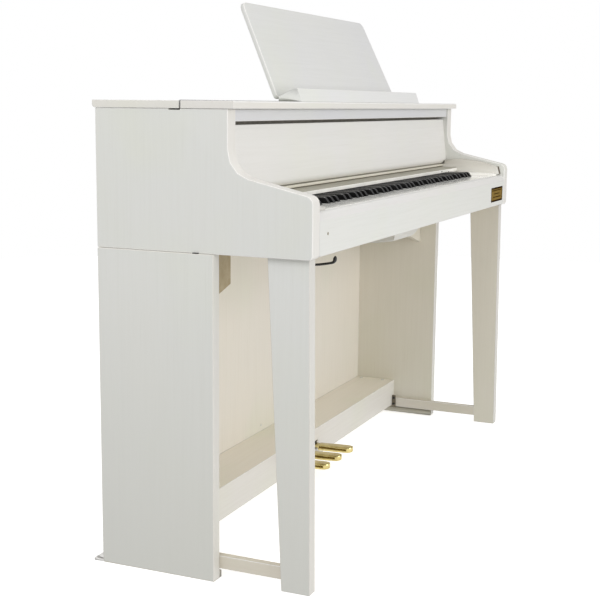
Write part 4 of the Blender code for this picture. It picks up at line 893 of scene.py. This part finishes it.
def makePlate():
    low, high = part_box("front_plate")
    piece = makeBar(low, high, 0.0003)
    chooseFaces(piece, lambda face: face.normal.y < -0.99)
    bpy.ops.mesh.inset(thickness=plate["rim"])
    leaveEdit()
    field = max((face for face in piece.data.polygons if face.normal.y < -0.99), key=lambda face: face.area)
    middle = field.center.copy()
    chooseFaces(piece, lambda face: face.normal.y < -0.99 and (face.center - middle).length < 0.001)
    bpy.ops.mesh.inset(thickness=0.0004, depth=-plate["sunk"])
    leaveEdit()
    rules = []
    for height, inset in plate["rules"]:
        rule = makeBar((low.x + inset, low.y + 0.0001, height), (high.x - inset, low.y + 0.0008, height + plate["rule"]), 0.0001)
        rules.append(rule)
    piece = joinPieces([*rules, piece], "frontPlateRimmed", nodes["front_plate"]["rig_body"], "brass", "bronze", "bronzeRim")
    for face in piece.data.polygons:
        sunk = face.normal.y < -0.99 and face.center.y > low.y + plate["sunk"] - 0.0001
        face.material_index = 0 if sunk else 1
    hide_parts("front_plate")


makePlate()
print("plate made")

spreadCopies(makeScrew(), "boardScrews", "cabinet", "steel", "steel", screw["root"])
spreadCopies(makeCap(0.0030, 0.0007, 0.0003), "slipScrewCap", "cabinet", "white_plastic", "shade", [((-0.641, -0.2415, 0.690), (0, -1, 0))])
spreadCopies(makeCap(0.0030, 0.0012, 0.0005), "backScrewCap", "cabinet", "white_plastic", "whitePlastic", [((-0.0033, 0.1988, 0.1122), (0, -1, 0))])
spreadCopies(makeCap(0.0014, 0.0006, 0.0002), "railMark", "cabinet", "black_plastic", "felt", [((0.5775, -0.1065, 0.7420), (0, -1, 0))])
spreadCopies(makeCap(0.0034, 0.0022, 0.0006), "bracketBolts", "cabinet", "steel", "blackPlastic",
             [((side * 0.6716, 0.0730, z), (-side, 0, 0)) for side in (-1, 1) for z in (0.0270, 0.0450)])
spreadCopies(makeCap(0.0010, 0.0078, 0.0004), "inletPin", "cabinet", "steel", "steel", [((-0.520, 0.2068, 0.700), (0, 1, 0))])
spreadCopies(makeCap(0.0021, 0.0008, 0.0004), "inletRivets", "cabinet", "steel", "steel",
             [((-0.520 + side * 0.0125, 0.2165, 0.700), (0, 1, 0)) for side in (-1, 1)])
spreadCopies(makeCap(cap["radius"], cap["height"], cap["round"]), "boxScrewCaps", "cabinet", "white_plastic", "whitePlastic",
             [((x, y, 0.097), (0, 0, 1)) for x in (-0.6740, 0.6740) for y in (0.1116, 0.1810)])
print("screws and caps set")


def makeFloor():
    bpy.ops.mesh.primitive_circle_add(vertices=64, radius=studio["floorRadius"], fill_type="NGON", location=(0, 0, -0.0005))
    floor = bpy.context.object
    floor.name = "studioFloor"
    finish = Finish("studioFloor", {"Roughness": 0.9, "Specular IOR Level": 0.1,
                                    "Emission Color": (1, 1, 1, 1), "Emission Strength": studio["floorGlow"]})
    shade = finish.spread(finish.noise(0.6, 1), 0.3, 0.7)
    darker = tuple(c * 0.985 for c in studio["floorTone"][:3]) + (1,)
    floor.visible_diffuse = False  # the lamps and the sky alone set how the piano is lit
    floor.data.materials.append(finish.wear(Base_Color=finish.mix(shade, studio["floorTone"], darker)))


makeFloor()
print("floor laid")
